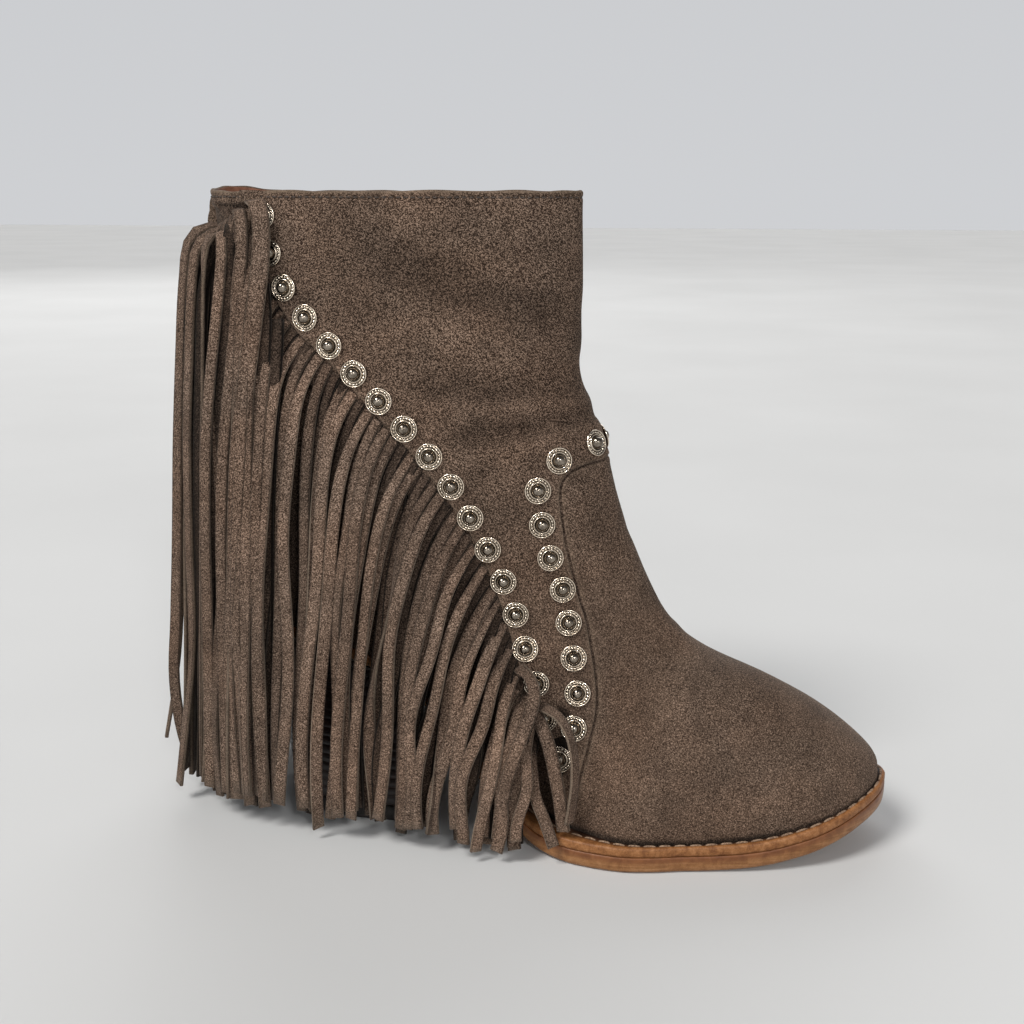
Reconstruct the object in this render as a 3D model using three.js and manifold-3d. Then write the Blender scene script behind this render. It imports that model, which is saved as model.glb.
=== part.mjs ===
// Fringe ankle boot, right foot. Millimetres, +X towards the toe, -Y the outer side, +Z up.
// The boot is drawn from the back of the heel seat (x = 0) on the floor (z = 0) and is
// moved at the end so that the origin is the centre of its footprint box.
import * as THREE from 'three';
import Module from 'manifold-3d';

const wasm = await Module();
wasm.setup();

// ---------------------------------------------------------------- driving dimensions
const LENGTH = 242; // outsole, heel seat to toe
const BALL_WIDTH = 78; // upper across the ball of the foot
const COLLAR_HEIGHT = 232; // floor to collar edge
const INSTEP_HEIGHT = 80; // floor to the ridge where the vamp meets the instep
const HEEL_HEIGHT = 71; // floor to the underside of the seat
const WALL = 2.1; // suede and lining
const GAP = 0.3; // between curved pieces that meet
const INSOLE_THICKNESS = 2.4;
const LIFT_THICKNESS = 5.6;
const STUD_DIAMETER = 10.2;
const STUD_HEIGHT = 2.9;
const CURTAIN_THICKNESS = 4.2;
const FRINGE_END = 12; // the strands stop this far above the floor
const SEAM_DROP = 6.3; // from the line of studs down to the fringe seam

// ---------------------------------------------------------------- tables
// Upper sections. Each runs from a point on the front ridge to a point on the back (shaft)
// or under the foot. x in % of LENGTH; heights in % of COLLAR_HEIGHT for the shaft and of
// INSTEP_HEIGHT for the foot; half widths in % of half the BALL_WIDTH.
// widest: where along the section the full width lies; the powers round the two halves;
// swing moves the section towards the inner side.
const SECTION_COLUMNS = ['zone', 'ridgeX', 'ridgeZ', 'backX', 'backZ', 'lateral', 'medial', 'widest', 'backPower', 'ridgePower', 'swing'];
const SECTIONS = [
  ['shaft', 52.6, 100.0, -4.1, 100.0, 62.0, 62.0, 0.40, 2.3, 1.7, 0.0],
  ['shaft', 52.7, 89.2, -3.0, 90.0, 67.5, 67.5, 0.40, 2.3, 1.7, 0.0],
  ['shaft', 52.8, 79.2, -1.6, 80.0, 71.8, 71.8, 0.40, 2.2, 1.75, 0.0],
  ['shaft', 52.2, 73.8, -0.2, 70.9, 74.4, 74.4, 0.40, 2.2, 1.8, 0.0],
  ['shaft', 54.2, 68.4, 1.0, 62.5, 77.0, 77.0, 0.40, 2.2, 1.9, 0.0],
  ['shaft', 56.4, 61.3, 1.5, 54.6, 78.2, 78.2, 0.38, 2.2, 1.95, 0.0],
  ['shaft', 58.2, 54.0, 1.2, 47.5, 78.2, 77.0, 0.36, 2.2, 2.0, 0.0],
  ['shaft', 60.4, 47.3, 0.8, 41.3, 77.0, 75.6, 0.34, 2.2, 2.0, 0.0],
  ['shaft', 62.8, 41.3, 0.9, 35.0, 75.6, 73.0, 0.32, 2.2, 2.0, 0.0],
  ['shaft', 65.0, 36.7, 1.6, 27.5, 74.4, 70.8, 0.32, 2.2, 2.0, 0.0],
  ['foot', 66.6, 99.1, 16.0, 60.5, 74.4, 68.2, 0.36, 2.2, 2.0, 0.0],
  ['foot', 68.0, 94.9, 30.5, 33.9, 74.4, 67.0, 0.36, 2.2, 2.0, 0.0],
  ['foot', 69.4, 90.6, 43.8, 4.9, 83.0, 66.4, 0.34, 2.6, 2.0, 0.0],
  ['foot', 71.4, 86.4, 59.0, -3.6, 115.0, 75.6, 0.30, 3.0, 2.0, 0.0],
  ['foot', 74.2, 81.6, 69.0, -3.6, 109.5, 90.0, 0.28, 3.0, 2.0, 0.8],
  ['foot', 79.0, 75.5, 77.4, -2.4, 95.5, 90.2, 0.28, 3.0, 2.0, 1.5],
  ['foot', 84.6, 67.8, 84.6, 1.2, 83.5, 83.5, 0.29, 3.0, 2.05, 2.6],
  ['foot', 90.0, 58.6, 90.2, 7.2, 70.5, 71.3, 0.31, 3.0, 2.1, 3.9],
  ['foot', 94.5, 49.0, 94.8, 13.2, 50.0, 53.5, 0.36, 3.0, 2.2, 5.8],
  ['foot', 97.2, 41.8, 97.3, 17.5, 29.5, 37.5, 0.42, 2.8, 2.2, 7.2],
  ['foot', 98.3, 37.5, 98.4, 21.1, 15.0, 24.0, 0.45, 2.5, 2.2, 7.8],
  ['foot', 98.7, 34.5, 98.8, 24.1, 5.0, 15.4, 0.50, 2.2, 2.2, 8.0],
].map((row) => Object.fromEntries(SECTION_COLUMNS.map((name, i) => [name, row[i]])));

// Sole: underside height, outsole thickness and welt height along the length (mm).
const SOLE_PROFILE = [
  { x: -2, under: HEEL_HEIGHT, thick: 4.6, welt: 0.8 },
  { x: 15, under: HEEL_HEIGHT - 0.5, thick: 4.6, welt: 0.8 },
  { x: 30, under: HEEL_HEIGHT - 2.5, thick: 4.6, welt: 0.8 },
  { x: 45, under: HEEL_HEIGHT - 6, thick: 4.6, welt: 0.8 },
  { x: 60, under: HEEL_HEIGHT - 12.5, thick: 4.6, welt: 0.8 },
  { x: 72, under: HEEL_HEIGHT - 21.5, thick: 4.6, welt: 0.8 },
  { x: 84, under: 37, thick: 4.6, welt: 0.8 },
  { x: 95, under: 22.8, thick: 4.7, welt: 1.0 },
  { x: 104, under: 12.4, thick: 4.9, welt: 1.3 },
  { x: 112, under: 5.6, thick: 5.3, welt: 2.1 },
  { x: 119, under: 2.2, thick: 5.8, welt: 3.0 },
  { x: 126, under: 0.7, thick: 6, welt: 3.3 },
  { x: 134, under: 0, thick: 6, welt: 3.3 },
  { x: 174, under: 0, thick: 6, welt: 3.3 },
  { x: 188, under: 0.5, thick: 6, welt: 3.3 },
  { x: 200, under: 1.8, thick: 6, welt: 3.3 },
  { x: 212, under: 4.3, thick: 6, welt: 3.3 },
  { x: 224, under: 7.8, thick: 6, welt: 3.3 },
  { x: 234, under: 11.4, thick: 6, welt: 3.3 },
  { x: 244, under: 15, thick: 6, welt: 3.3 },
];
// Outsole outline: distance of each edge from the centre line (mm).
const OUTLINE = [
  { x: 0, lateral: 1, medial: 1 },
  { x: 1, lateral: 8.5, medial: 8.5 },
  { x: 5, lateral: 16, medial: 16 },
  { x: 14, lateral: 23.5, medial: 23 },
  { x: 30, lateral: 28.6, medial: 27.6 },
  { x: 50, lateral: 29.8, medial: 28 },
  { x: 80, lateral: 27.6, medial: 23.5 },
  { x: 98, lateral: 31, medial: 22.6 },
  { x: 112, lateral: 37, medial: 23.8 },
  { x: 120, lateral: 42, medial: 25.4 },
  { x: 128, lateral: 45.8, medial: 27.4 },
  { x: 136, lateral: 48, medial: 29.6 },
  { x: 144, lateral: 49.3, medial: 32 },
  { x: 152, lateral: 49.6, medial: 34.6 },
  { x: 162, lateral: 47.8, medial: 37.6 },
  { x: 172, lateral: 44.8, medial: 39.4 },
  { x: 185, lateral: 41.9, medial: 39.6 },
  { x: 198, lateral: 38.9, medial: 37.8 },
  { x: 209, lateral: 35.4, medial: 35 },
  { x: 219, lateral: 31, medial: 30.6 },
  { x: 228, lateral: 24.2, medial: 24.8 },
  { x: 236, lateral: 14.6, medial: 17 },
  { x: 240.4, lateral: 6, medial: 10 },
  { x: 242, lateral: -2.6, medial: 3.8 },
];
// Heel block: back, breast and half width at three heights (share of the heel height).
const HEEL_ROWS = [
  { level: 0, back: 14.5, breast: 70.5, half: 28 },
  { level: 0.3, back: 12, breast: 69, half: 27 },
  { level: 0.7, back: 6.4, breast: 68.5, half: 27 },
  { level: 1.08, back: 2.2, breast: 70.5, half: 27.6 },
];
// Lines of studs, drawn in side view on the outer side (x, z in mm).
const DIAGONAL_LINE = [
  [18.3, 223.3], [20.8, 210.2], [26.6, 197.6], [44.5, 177.4], [62.9, 158], [79.8, 139.7],
  [93, 119.1], [104.7, 94.9], [112.6, 71], [117, 59], [120.2, 47],
];
const HARNESS_LINE = [
  [133.6, 144.2], [123.4, 140.2], [115.8, 130], [117, 118.2], [120.2, 105], [124.9, 92.5],
  [126.9, 81.5], [129.3, 70.6], [131.6, 58.2], [131.1, 44.6], [126.4, 32.8],
];
const STUD_ROWS = [
  { name: 'diagonal_lateral', line: DIAGONAL_LINE, side: -1, count: 17 },
  { name: 'harness_lateral', line: HARNESS_LINE, side: -1, count: 11 },
  { name: 'diagonal_medial', line: DIAGONAL_LINE, side: 1, count: 15 },
  { name: 'harness_medial', line: HARNESS_LINE, side: 1, count: 9 },
];
// Fringe: where a strand that starts this share along the seam ends, in plan.
const DRAPE = [
  { along: 0.0, endX: -43, endY: 0.6 },
  { along: 0.04, endX: -40.5, endY: 14 },
  { along: 0.08, endX: -34, endY: 25 },
  { along: 0.13, endX: -22, endY: 33 },
  { along: 0.2, endX: -4, endY: 38.5 },
  { along: 0.35, endX: 24, endY: 42 },
  { along: 0.5, endX: 46, endY: 44 },
  { along: 0.65, endX: 64, endY: 45 },
  { along: 0.8, endX: 81, endY: 46.5 },
  { along: 0.9, endX: 93, endY: 48 },
  { along: 1.0, endX: 105, endY: 49.5 },
];

// ---------------------------------------------------------------- curves
// A smooth curve through a table's column that never overshoots its rows.
function column(rows, key, value, x) {
  const n = rows.length;
  if (x <= rows[0][key]) return rows[0][value];
  if (x >= rows[n - 1][key]) return rows[n - 1][value];
  let i = 0;
  while (x > rows[i + 1][key]) i += 1;
  const step = (j) => rows[j + 1][key] - rows[j][key];
  const rise = (j) => (rows[j + 1][value] - rows[j][value]) / step(j);
  const slope = (j) => {
    if (j === 0) return rise(0);
    if (j === n - 1) return rise(n - 2);
    const a = rise(j - 1), b = rise(j);
    if (a * b <= 0) return 0;
    const w1 = 2 * step(j) + step(j - 1), w2 = step(j) + 2 * step(j - 1);
    return (w1 + w2) / (w1 / a + w2 / b);
  };
  const h = step(i), t = (x - rows[i][key]) / h;
  const t2 = t * t, t3 = t2 * t;
  return (2 * t3 - 3 * t2 + 1) * rows[i][value] + (t3 - 2 * t2 + t) * h * slope(i)
    + (-2 * t3 + 3 * t2) * rows[i + 1][value] + (t3 - t2) * h * slope(i + 1);
}
const under = (x) => column(SOLE_PROFILE, 'x', 'under', x);
const bed = (x) => under(x) + column(SOLE_PROFILE, 'x', 'thick', x);
const weltTop = (x) => bed(x) + GAP + column(SOLE_PROFILE, 'x', 'welt', x);

// The section at a place s along the boot (0 at the collar, one unit a row), in mm.
const ROWS_MM = SECTIONS.map((row) => {
  const tall = row.zone === 'shaft' ? COLLAR_HEIGHT : INSTEP_HEIGHT;
  const across = BALL_WIDTH / 200;
  return [row.ridgeX * LENGTH / 100, row.ridgeZ * tall / 100, row.backX * LENGTH / 100, row.backZ * tall / 100,
    row.lateral * across, row.medial * across, row.widest, row.backPower, row.ridgePower, row.swing * across];
});
const LAST = ROWS_MM.length - 1;
function section(s, shrink = 0) {
  const k = Math.min(Math.max(s, 0), LAST - 1e-9);
  const i = Math.floor(k), t = k - i;
  const p = ROWS_MM[i].map((b, c) => {
    const d = ROWS_MM[i + 1][c];
    const a = i > 0 ? ROWS_MM[i - 1][c] : 2 * b - d;
    const e = i < LAST - 1 ? ROWS_MM[i + 2][c] : 2 * d - b;
    return 0.5 * (2 * b + (d - a) * t + (2 * a - 5 * b + 4 * d - e) * t * t + (3 * b - a - 3 * d + e) * t * t * t);
  });
  const [rx, rz, bx, bz, lateral, medial, widest, backPower, ridgePower, swing] = p;
  const long = Math.hypot(rx - bx, rz - bz);
  const ux = (rx - bx) / long, uz = (rz - bz) / long;
  return {
    bx: bx + ux * shrink, bz: bz + uz * shrink, rx: rx - ux * shrink, rz: rz - uz * shrink,
    lateral: lateral + swing - shrink, medial: medial - swing - shrink,
    widest, backPower, ridgePower, swing,
  };
}
// A point of the upper: turn 0 on the ridge, pi at the back, outer side first.
function skin(s, turn, shrink = 0) {
  const q = section(s, shrink);
  const around = ((turn % (2 * Math.PI)) + 2 * Math.PI) % (2 * Math.PI);
  const outer = around <= Math.PI;
  const a = outer ? around : 2 * Math.PI - around;
  const c = Math.cos(a), power = c >= 0 ? q.ridgePower : q.backPower;
  const ac = Math.abs(c) ** (2 / power), as = Math.sin(a) ** (2 / power);
  const t = c >= 0 ? q.widest + (1 - q.widest) * ac : q.widest - q.widest * ac;
  const wide = outer ? q.lateral : q.medial;
  return new THREE.Vector3(q.bx + (q.rx - q.bx) * t, q.swing + (outer ? -1 : 1) * wide * as, q.bz + (q.rz - q.bz) * t);
}
function outward(s, turn) {
  const h = 1e-3;
  const a = skin(s + h, turn).sub(skin(s - h, turn));
  const b = skin(s, turn + h).sub(skin(s, turn - h));
  const n = a.cross(b).normalize();
  const q = section(s);
  const centre = new THREE.Vector3((q.rx + q.bx) / 2, q.swing, (q.rz + q.bz) / 2);
  return n.dot(skin(s, turn).sub(centre)) < 0 ? n.negate() : n;
}
// The place on the skin that is seen at x, z from the side: its s and its turn.
function seenAt(x, z, side) {
  const off = (s) => {
    const q = section(s);
    return (q.rx - q.bx) * (z - q.bz) - (q.rz - q.bz) * (x - q.bx);
  };
  let low = 0, high = 0, before = off(0);
  for (let k = 1; k <= 210; k += 1) {
    const s = k / 10, now = off(s);
    if (before * now <= 0) { low = s - 0.1; high = s; break; }
    before = now;
  }
  const sign = Math.sign(off(low)) || 1;
  for (let k = 0; k < 40; k += 1) {
    const mid = (low + high) / 2;
    if (off(mid) * sign > 0) low = mid; else high = mid;
  }
  const s = (low + high) / 2, q = section(s);
  const long2 = (q.rx - q.bx) ** 2 + (q.rz - q.bz) ** 2;
  const t = ((x - q.bx) * (q.rx - q.bx) + (z - q.bz) * (q.rz - q.bz)) / long2;
  const front = t >= q.widest;
  const share = front ? (t - q.widest) / (1 - q.widest) : (q.widest - t) / q.widest;
  const c = Math.min(Math.max(share, 0), 1) ** ((front ? q.ridgePower : q.backPower) / 2);
  const a = front ? Math.acos(c) : Math.PI - Math.acos(c);
  return { s, turn: side < 0 ? a : 2 * Math.PI - a };
}
// Even steps along a smooth line through side-view points.
function spaced(line, count) {
  const curve = new THREE.CatmullRomCurve3(line.map(([x, z]) => new THREE.Vector3(x, 0, z)), false, 'centripetal');
  return curve.getSpacedPoints(count - 1).map((p, i) => {
    const along = i / (count - 1);
    return { x: p.x, z: p.z, heading: curve.getTangentAt(along) };
  });
}

// ---------------------------------------------------------------- solids
// A closed skin over equal rings of points, with a fan over each end.
function loft(rings) {
  const n = rings[0].length;
  const points = [], faces = [];
  rings.forEach((ring) => ring.forEach((p) => points.push(p.x, p.y, p.z)));
  for (let r = 0; r + 1 < rings.length; r += 1) {
    for (let k = 0; k < n; k += 1) {
      const a = r * n + k, b = r * n + (k + 1) % n;
      faces.push(a, b, b + n, a, b + n, a + n);
    }
  }
  [0, rings.length - 1].forEach((r, end) => {
    const middle = rings[r].reduce((m, p) => m.add(p), new THREE.Vector3()).divideScalar(n);
    const hub = points.length / 3;
    points.push(middle.x, middle.y, middle.z);
    for (let k = 0; k < n; k += 1) {
      const a = r * n + k, b = r * n + (k + 1) % n;
      if (end === 0) faces.push(b, a, hub); else faces.push(a, b, hub);
    }
  });
  let volume = 0;
  for (let f = 0; f < faces.length; f += 3) {
    const [p, q, r] = [0, 1, 2].map((k) => new THREE.Vector3(...points.slice(faces[f + k] * 3, faces[f + k] * 3 + 3)));
    volume += p.dot(q.cross(r)) / 6;
  }
  if (volume < 0) for (let f = 0; f < faces.length; f += 3) [faces[f], faces[f + 1]] = [faces[f + 1], faces[f]];
  return new wasm.Manifold(new wasm.Mesh({
    numProp: 3, vertProperties: new Float32Array(points), triVerts: new Uint32Array(faces),
  }));
}
function geometryOf(solid) {
  const mesh = solid.getMesh();
  const geometry = new THREE.BufferGeometry();
  geometry.setAttribute('position', new THREE.BufferAttribute(new Float32Array(mesh.vertProperties), 3));
  geometry.setIndex(new THREE.BufferAttribute(new Uint32Array(mesh.triVerts), 1));
  return geometry;
}
const range = (from, to, count) => Array.from({ length: count }, (_, i) => from + (to - from) * i / (count - 1));

// The form of the last: rings of the skin from above the collar to the toe.
const AROUND = 30;
const PLACES = [0, 1, 2, 2.6, 3, 3.5, 4.2, 5, 6, 7, 8, 8.7, 9.4, 10.2, 11, 11.6, 12.1, 12.5, 12.9, 13.4, 14, 14.7, 15.4, 16.1, 16.8, 17.5, 18.1, 18.7, 19.3, 20, 20.5, 21];
function form(shrink, above = 0, stop = LAST) {
  const rings = PLACES.filter((s) => s <= stop).map((s) => range(0, 2 * Math.PI, AROUND + 1).slice(0, AROUND).map((turn) => skin(s, turn, shrink)));
  if (above > 0) rings.unshift(rings[0].map((p) => p.clone().setZ(p.z + above)));
  return loft(rings);
}
// Stations along the sole, closer together at the heel seat and the toe.
const SOLE_STATIONS = [
  0, 0.6, 2, 5, 10, 17, 26, 37, 48, 58, 67, 75, 82, 88, 94, 99, 104, 108, 112, 116, 120, 125, 131,
  138, 147, 157, 167, 176, 185, 194, 203, 212, 220, 227, 233, 237, 239.8, 241.3, 242,
];
// A slab along the sole, from one height to another, inside or past its outline.
function slab(from, to, low, high, inset) {
  const xs = [from, ...SOLE_STATIONS.filter((x) => x > from + 0.2 && x < to - 0.2), to];
  return loft(xs.map((x) => {
    const left = inset === null ? 70 : column(OUTLINE, 'x', 'lateral', x) - inset;
    const right = inset === null ? 70 : column(OUTLINE, 'x', 'medial', x) - inset;
    return [[-left, low(x)], [right, low(x)], [right, high(x)], [-left, high(x)]].map(([y, z]) => new THREE.Vector3(x, y, z));
  }));
}
// Upper: the form less the same form one wall smaller, opened at the collar and underneath.
const belowBed = slab(-40, 260, () => -30, (x) => bed(x) + GAP, null);
const upperSolid = form(0).subtract(form(WALL, 12, 20)).subtract(belowBed);

// Outsole: true outline, arch and toe spring; flat under the ball.
function outsoleSolid() {
  return loft(SOLE_STATIONS.map((x) => {
    const l = column(OUTLINE, 'x', 'lateral', x), m = column(OUTLINE, 'x', 'medial', x);
    const soft = Math.min(1.2, (l + m) / 8), low = under(x), top = bed(x);
    return [[-l + soft, low], [m - soft, low], [m, low + soft], [m, top], [-l, top], [-l, low + soft]].map(([y, z]) => new THREE.Vector3(x, y, z));
  }));
}
// Welt: what lies between the upper and the edge of the outsole, from waist to toe.
const weltSolid = slab(100, 241.6, (x) => bed(x) + GAP, weltTop, 0.35).subtract(form(-GAP));
// Insole: on the outsole, inside the upper.
const insoleSolid = slab(3, 238, (x) => bed(x) + GAP, (x) => bed(x) + GAP + INSOLE_THICKNESS, -4).intersect(form(WALL + GAP, 0, 20));

// Heel block: round at the back, straight at the breast, its top cut to the arch.
function heelRing(level, z) {
  const back = column(HEEL_ROWS, 'level', 'back', level), breast = column(HEEL_ROWS, 'level', 'breast', level);
  const half = column(HEEL_ROWS, 'level', 'half', level), round = (breast - back) * 0.62;
  const arc = range(-Math.PI / 2, Math.PI / 2, 17).map((a) => new THREE.Vector3(back + round - round * Math.cos(a), half * Math.sin(a), z));
  const front = [[0.94, 0.975], [0.985, 0.88], [0.97, 0], [0.985, -0.88], [0.94, -0.975]].map(([f, w]) => new THREE.Vector3(back + (breast - back) * f, half * w, z));
  return [...arc, ...front];
}
const heelBody = loft(range(0.085, 1.08, 7).map((level) => heelRing(level, level < 0.09 ? LIFT_THICKNESS + GAP : level * HEEL_HEIGHT)));
const aboveSeat = slab(-20, 100, (x) => under(x) - GAP, () => 140, null);
const heelSolid = heelBody.subtract(aboveSeat);
const liftSolid = loft([heelRing(0.0, 0), heelRing(0.07, LIFT_THICKNESS)]);

// ---------------------------------------------------------------- fringe curtains
// The seam: round the back just under the collar, then down the side below the studs.
function seam(side) {
  const roundBack = range(Math.PI, Math.PI * 0.85, 5).map((turn, i) => ({ s: 0.5 - 0.03 * i, turn: side < 0 ? turn : 2 * Math.PI - turn }));
  roundBack[0].turn -= side * -0.02;
  const down = spaced(DIAGONAL_LINE, 18).slice(1).map((p) => {
    const across = new THREE.Vector3(p.heading.z, 0, -p.heading.x).normalize();
    if (across.x > 0) across.negate();
    return seenAt(p.x + across.x * SEAM_DROP, p.z + across.z * SEAM_DROP, side);
  });
  const lift = GAP + 0.9 + CURTAIN_THICKNESS / 2;
  const places = [...roundBack, ...down].map(({ s, turn }) => {
    const n = outward(s, turn);
    return { at: skin(s, turn).addScaledVector(n, lift), out: n.setZ(0).normalize() };
  });
  const lengths = [0];
  for (let i = 1; i < places.length; i += 1) lengths.push(lengths[i - 1] + places[i].at.distanceTo(places[i - 1].at));
  return places.map((p, i) => ({ ...p, along: lengths[i] / lengths[lengths.length - 1] }));
}
// One curtain: it leaves the seam outwards, then hangs to its end near the floor.
function curtainSolid(side) {
  const stations = seam(side).map(({ at, out, along }) => {
    const end = new THREE.Vector3(column(DRAPE, 'along', 'endX', along), side * column(DRAPE, 'along', 'endY', along), FRINGE_END);
    return range(0, 1, 7).map((v) => {
      const w = v ** 0.62;
      return new THREE.Vector3(at.x + (end.x - at.x) * w, at.y + (end.y - at.y) * w, at.z + (end.z - at.z) * v);
    });
  });
  const outs = seam(side).map((p) => p.out);
  const rings = stations.map((strand, i) => {
    const near = stations[Math.max(i - 1, 0)], far = stations[Math.min(i + 1, stations.length - 1)];
    const sides = strand.map((p, j) => {
      const run = far[j].clone().sub(near[j]).setZ(0).normalize();
      const across = new THREE.Vector3(run.y, -run.x, 0);
      if (across.dot(outs[i]) < 0) across.negate();
      const share = Math.min(j / 3, 1);
      return outs[i].clone().lerp(across, share).setY(i === 0 ? 0 : outs[i].y * (1 - share) + across.y * share).normalize();
    });
    const outer = strand.map((p, j) => p.clone().addScaledVector(sides[j], CURTAIN_THICKNESS / 2));
    const inner = strand.map((p, j) => p.clone().addScaledVector(sides[j], -CURTAIN_THICKNESS / 2)).reverse();
    return [...outer, ...inner];
  });
  return loft(rings);
}

// ---------------------------------------------------------------- assembly
const suede = (color) => new THREE.MeshStandardMaterial({ color, roughness: 0.95, metalness: 0 });
const boot = new THREE.Group();
function add(name, geometry, material) {
  const mesh = new THREE.Mesh(geometry, material);
  mesh.name = name;
  boot.add(mesh);
  return mesh;
}
add('upper', geometryOf(upperSolid), suede(0x5b4a3f));
add('insole', geometryOf(insoleSolid), new THREE.MeshStandardMaterial({ color: 0x9a6a48, roughness: 0.8, metalness: 0 }));
add('outsole', geometryOf(outsoleSolid()), new THREE.MeshStandardMaterial({ color: 0x7f583a, roughness: 0.5, metalness: 0 }));
add('welt', geometryOf(weltSolid), new THREE.MeshStandardMaterial({ color: 0x85603f, roughness: 0.55, metalness: 0 }));
add('heel', geometryOf(heelSolid), new THREE.MeshStandardMaterial({ color: 0x33201a, roughness: 0.45, metalness: 0 }));
add('top_lift', geometryOf(liftSolid), new THREE.MeshStandardMaterial({ color: 0x1d1613, roughness: 0.8, metalness: 0 }));
add('fringe_lateral', geometryOf(curtainSolid(-1)), suede(0x4c3f36));
add('fringe_medial', geometryOf(curtainSolid(1)), suede(0x4c3f36));

const studProfile = [[0, 0], [0.5, 0], [0.5, 0.34], [0.24, 0.6], [0, 1]].map(([r, h]) => new THREE.Vector2(r * STUD_DIAMETER, h * STUD_HEIGHT));
const silver = new THREE.MeshStandardMaterial({ color: 0xb8b4ac, roughness: 0.25, metalness: 1 });
STUD_ROWS.forEach(({ name, line, side, count }) => {
  spaced(line, count).forEach((p, i) => {
    const { s, turn } = seenAt(p.x, p.z, side);
    const n = outward(s, turn);
    const at = skin(s, turn);
    // How far the skin rises past the flat back of the stud anywhere round its rim.
    const facing = new THREE.Quaternion().setFromUnitVectors(new THREE.Vector3(0, 1, 0), n);
    const rise = range(0, 2 * Math.PI, 13).map((a) => {
      const rim = new THREE.Vector3(Math.cos(a), 0, Math.sin(a)).multiplyScalar(STUD_DIAMETER / 2).applyQuaternion(facing).add(at);
      const near = seenAt(rim.x, rim.z, side);
      return skin(near.s, near.turn).sub(rim).dot(n);
    });
    const stud = add(`stud_${name}_${String(i + 1).padStart(2, '0')}`, new THREE.LatheGeometry(studProfile, 8), silver);
    stud.position.copy(at).addScaledVector(n, GAP + 0.25 + Math.min(Math.max(...rise, 0), 1.5));
    stud.quaternion.copy(facing);
  });
});

// Origin under the middle of the whole boot.
const box = new THREE.Box3().setFromObject(boot, true);
boot.position.set(-(box.min.x + box.max.x) / 2, -(box.min.y + box.max.y) / 2, -box.min.z);

export default boot;
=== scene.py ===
import math

import bmesh
import bpy
import numpy as np
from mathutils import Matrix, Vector, noise
from mathutils.bvhtree import BVHTree


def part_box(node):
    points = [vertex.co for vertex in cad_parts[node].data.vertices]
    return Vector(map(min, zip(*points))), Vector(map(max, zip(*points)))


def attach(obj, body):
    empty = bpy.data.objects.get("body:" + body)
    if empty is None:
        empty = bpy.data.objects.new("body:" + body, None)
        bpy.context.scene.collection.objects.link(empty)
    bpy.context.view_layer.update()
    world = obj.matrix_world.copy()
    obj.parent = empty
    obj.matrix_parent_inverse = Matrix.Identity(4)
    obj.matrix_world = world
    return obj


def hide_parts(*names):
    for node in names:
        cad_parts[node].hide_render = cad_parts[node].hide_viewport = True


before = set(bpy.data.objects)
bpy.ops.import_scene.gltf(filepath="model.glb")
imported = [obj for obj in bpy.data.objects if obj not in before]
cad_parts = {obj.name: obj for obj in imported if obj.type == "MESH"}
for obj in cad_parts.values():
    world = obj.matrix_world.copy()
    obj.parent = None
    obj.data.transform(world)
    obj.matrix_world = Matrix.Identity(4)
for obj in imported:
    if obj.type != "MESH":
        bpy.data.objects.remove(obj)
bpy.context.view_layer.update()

MM = 0.001
OFF_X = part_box("outsole")[0].x
OFF_Y = (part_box("top_lift")[0].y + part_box("top_lift")[1].y) / 2

# ------------------------------------------------------------------ sizes and tables
LENGTH, BALL_WIDTH, COLLAR_HEIGHT, INSTEP_HEIGHT, HEEL_HEIGHT = 242.0, 78.0, 232.0, 80.0, 71.0
WALL, GAP, LIFT_THICKNESS = 2.1, 0.3, 5.6
STUD_RADIUS, STUD_HEIGHT = 5.1, 2.9

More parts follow.
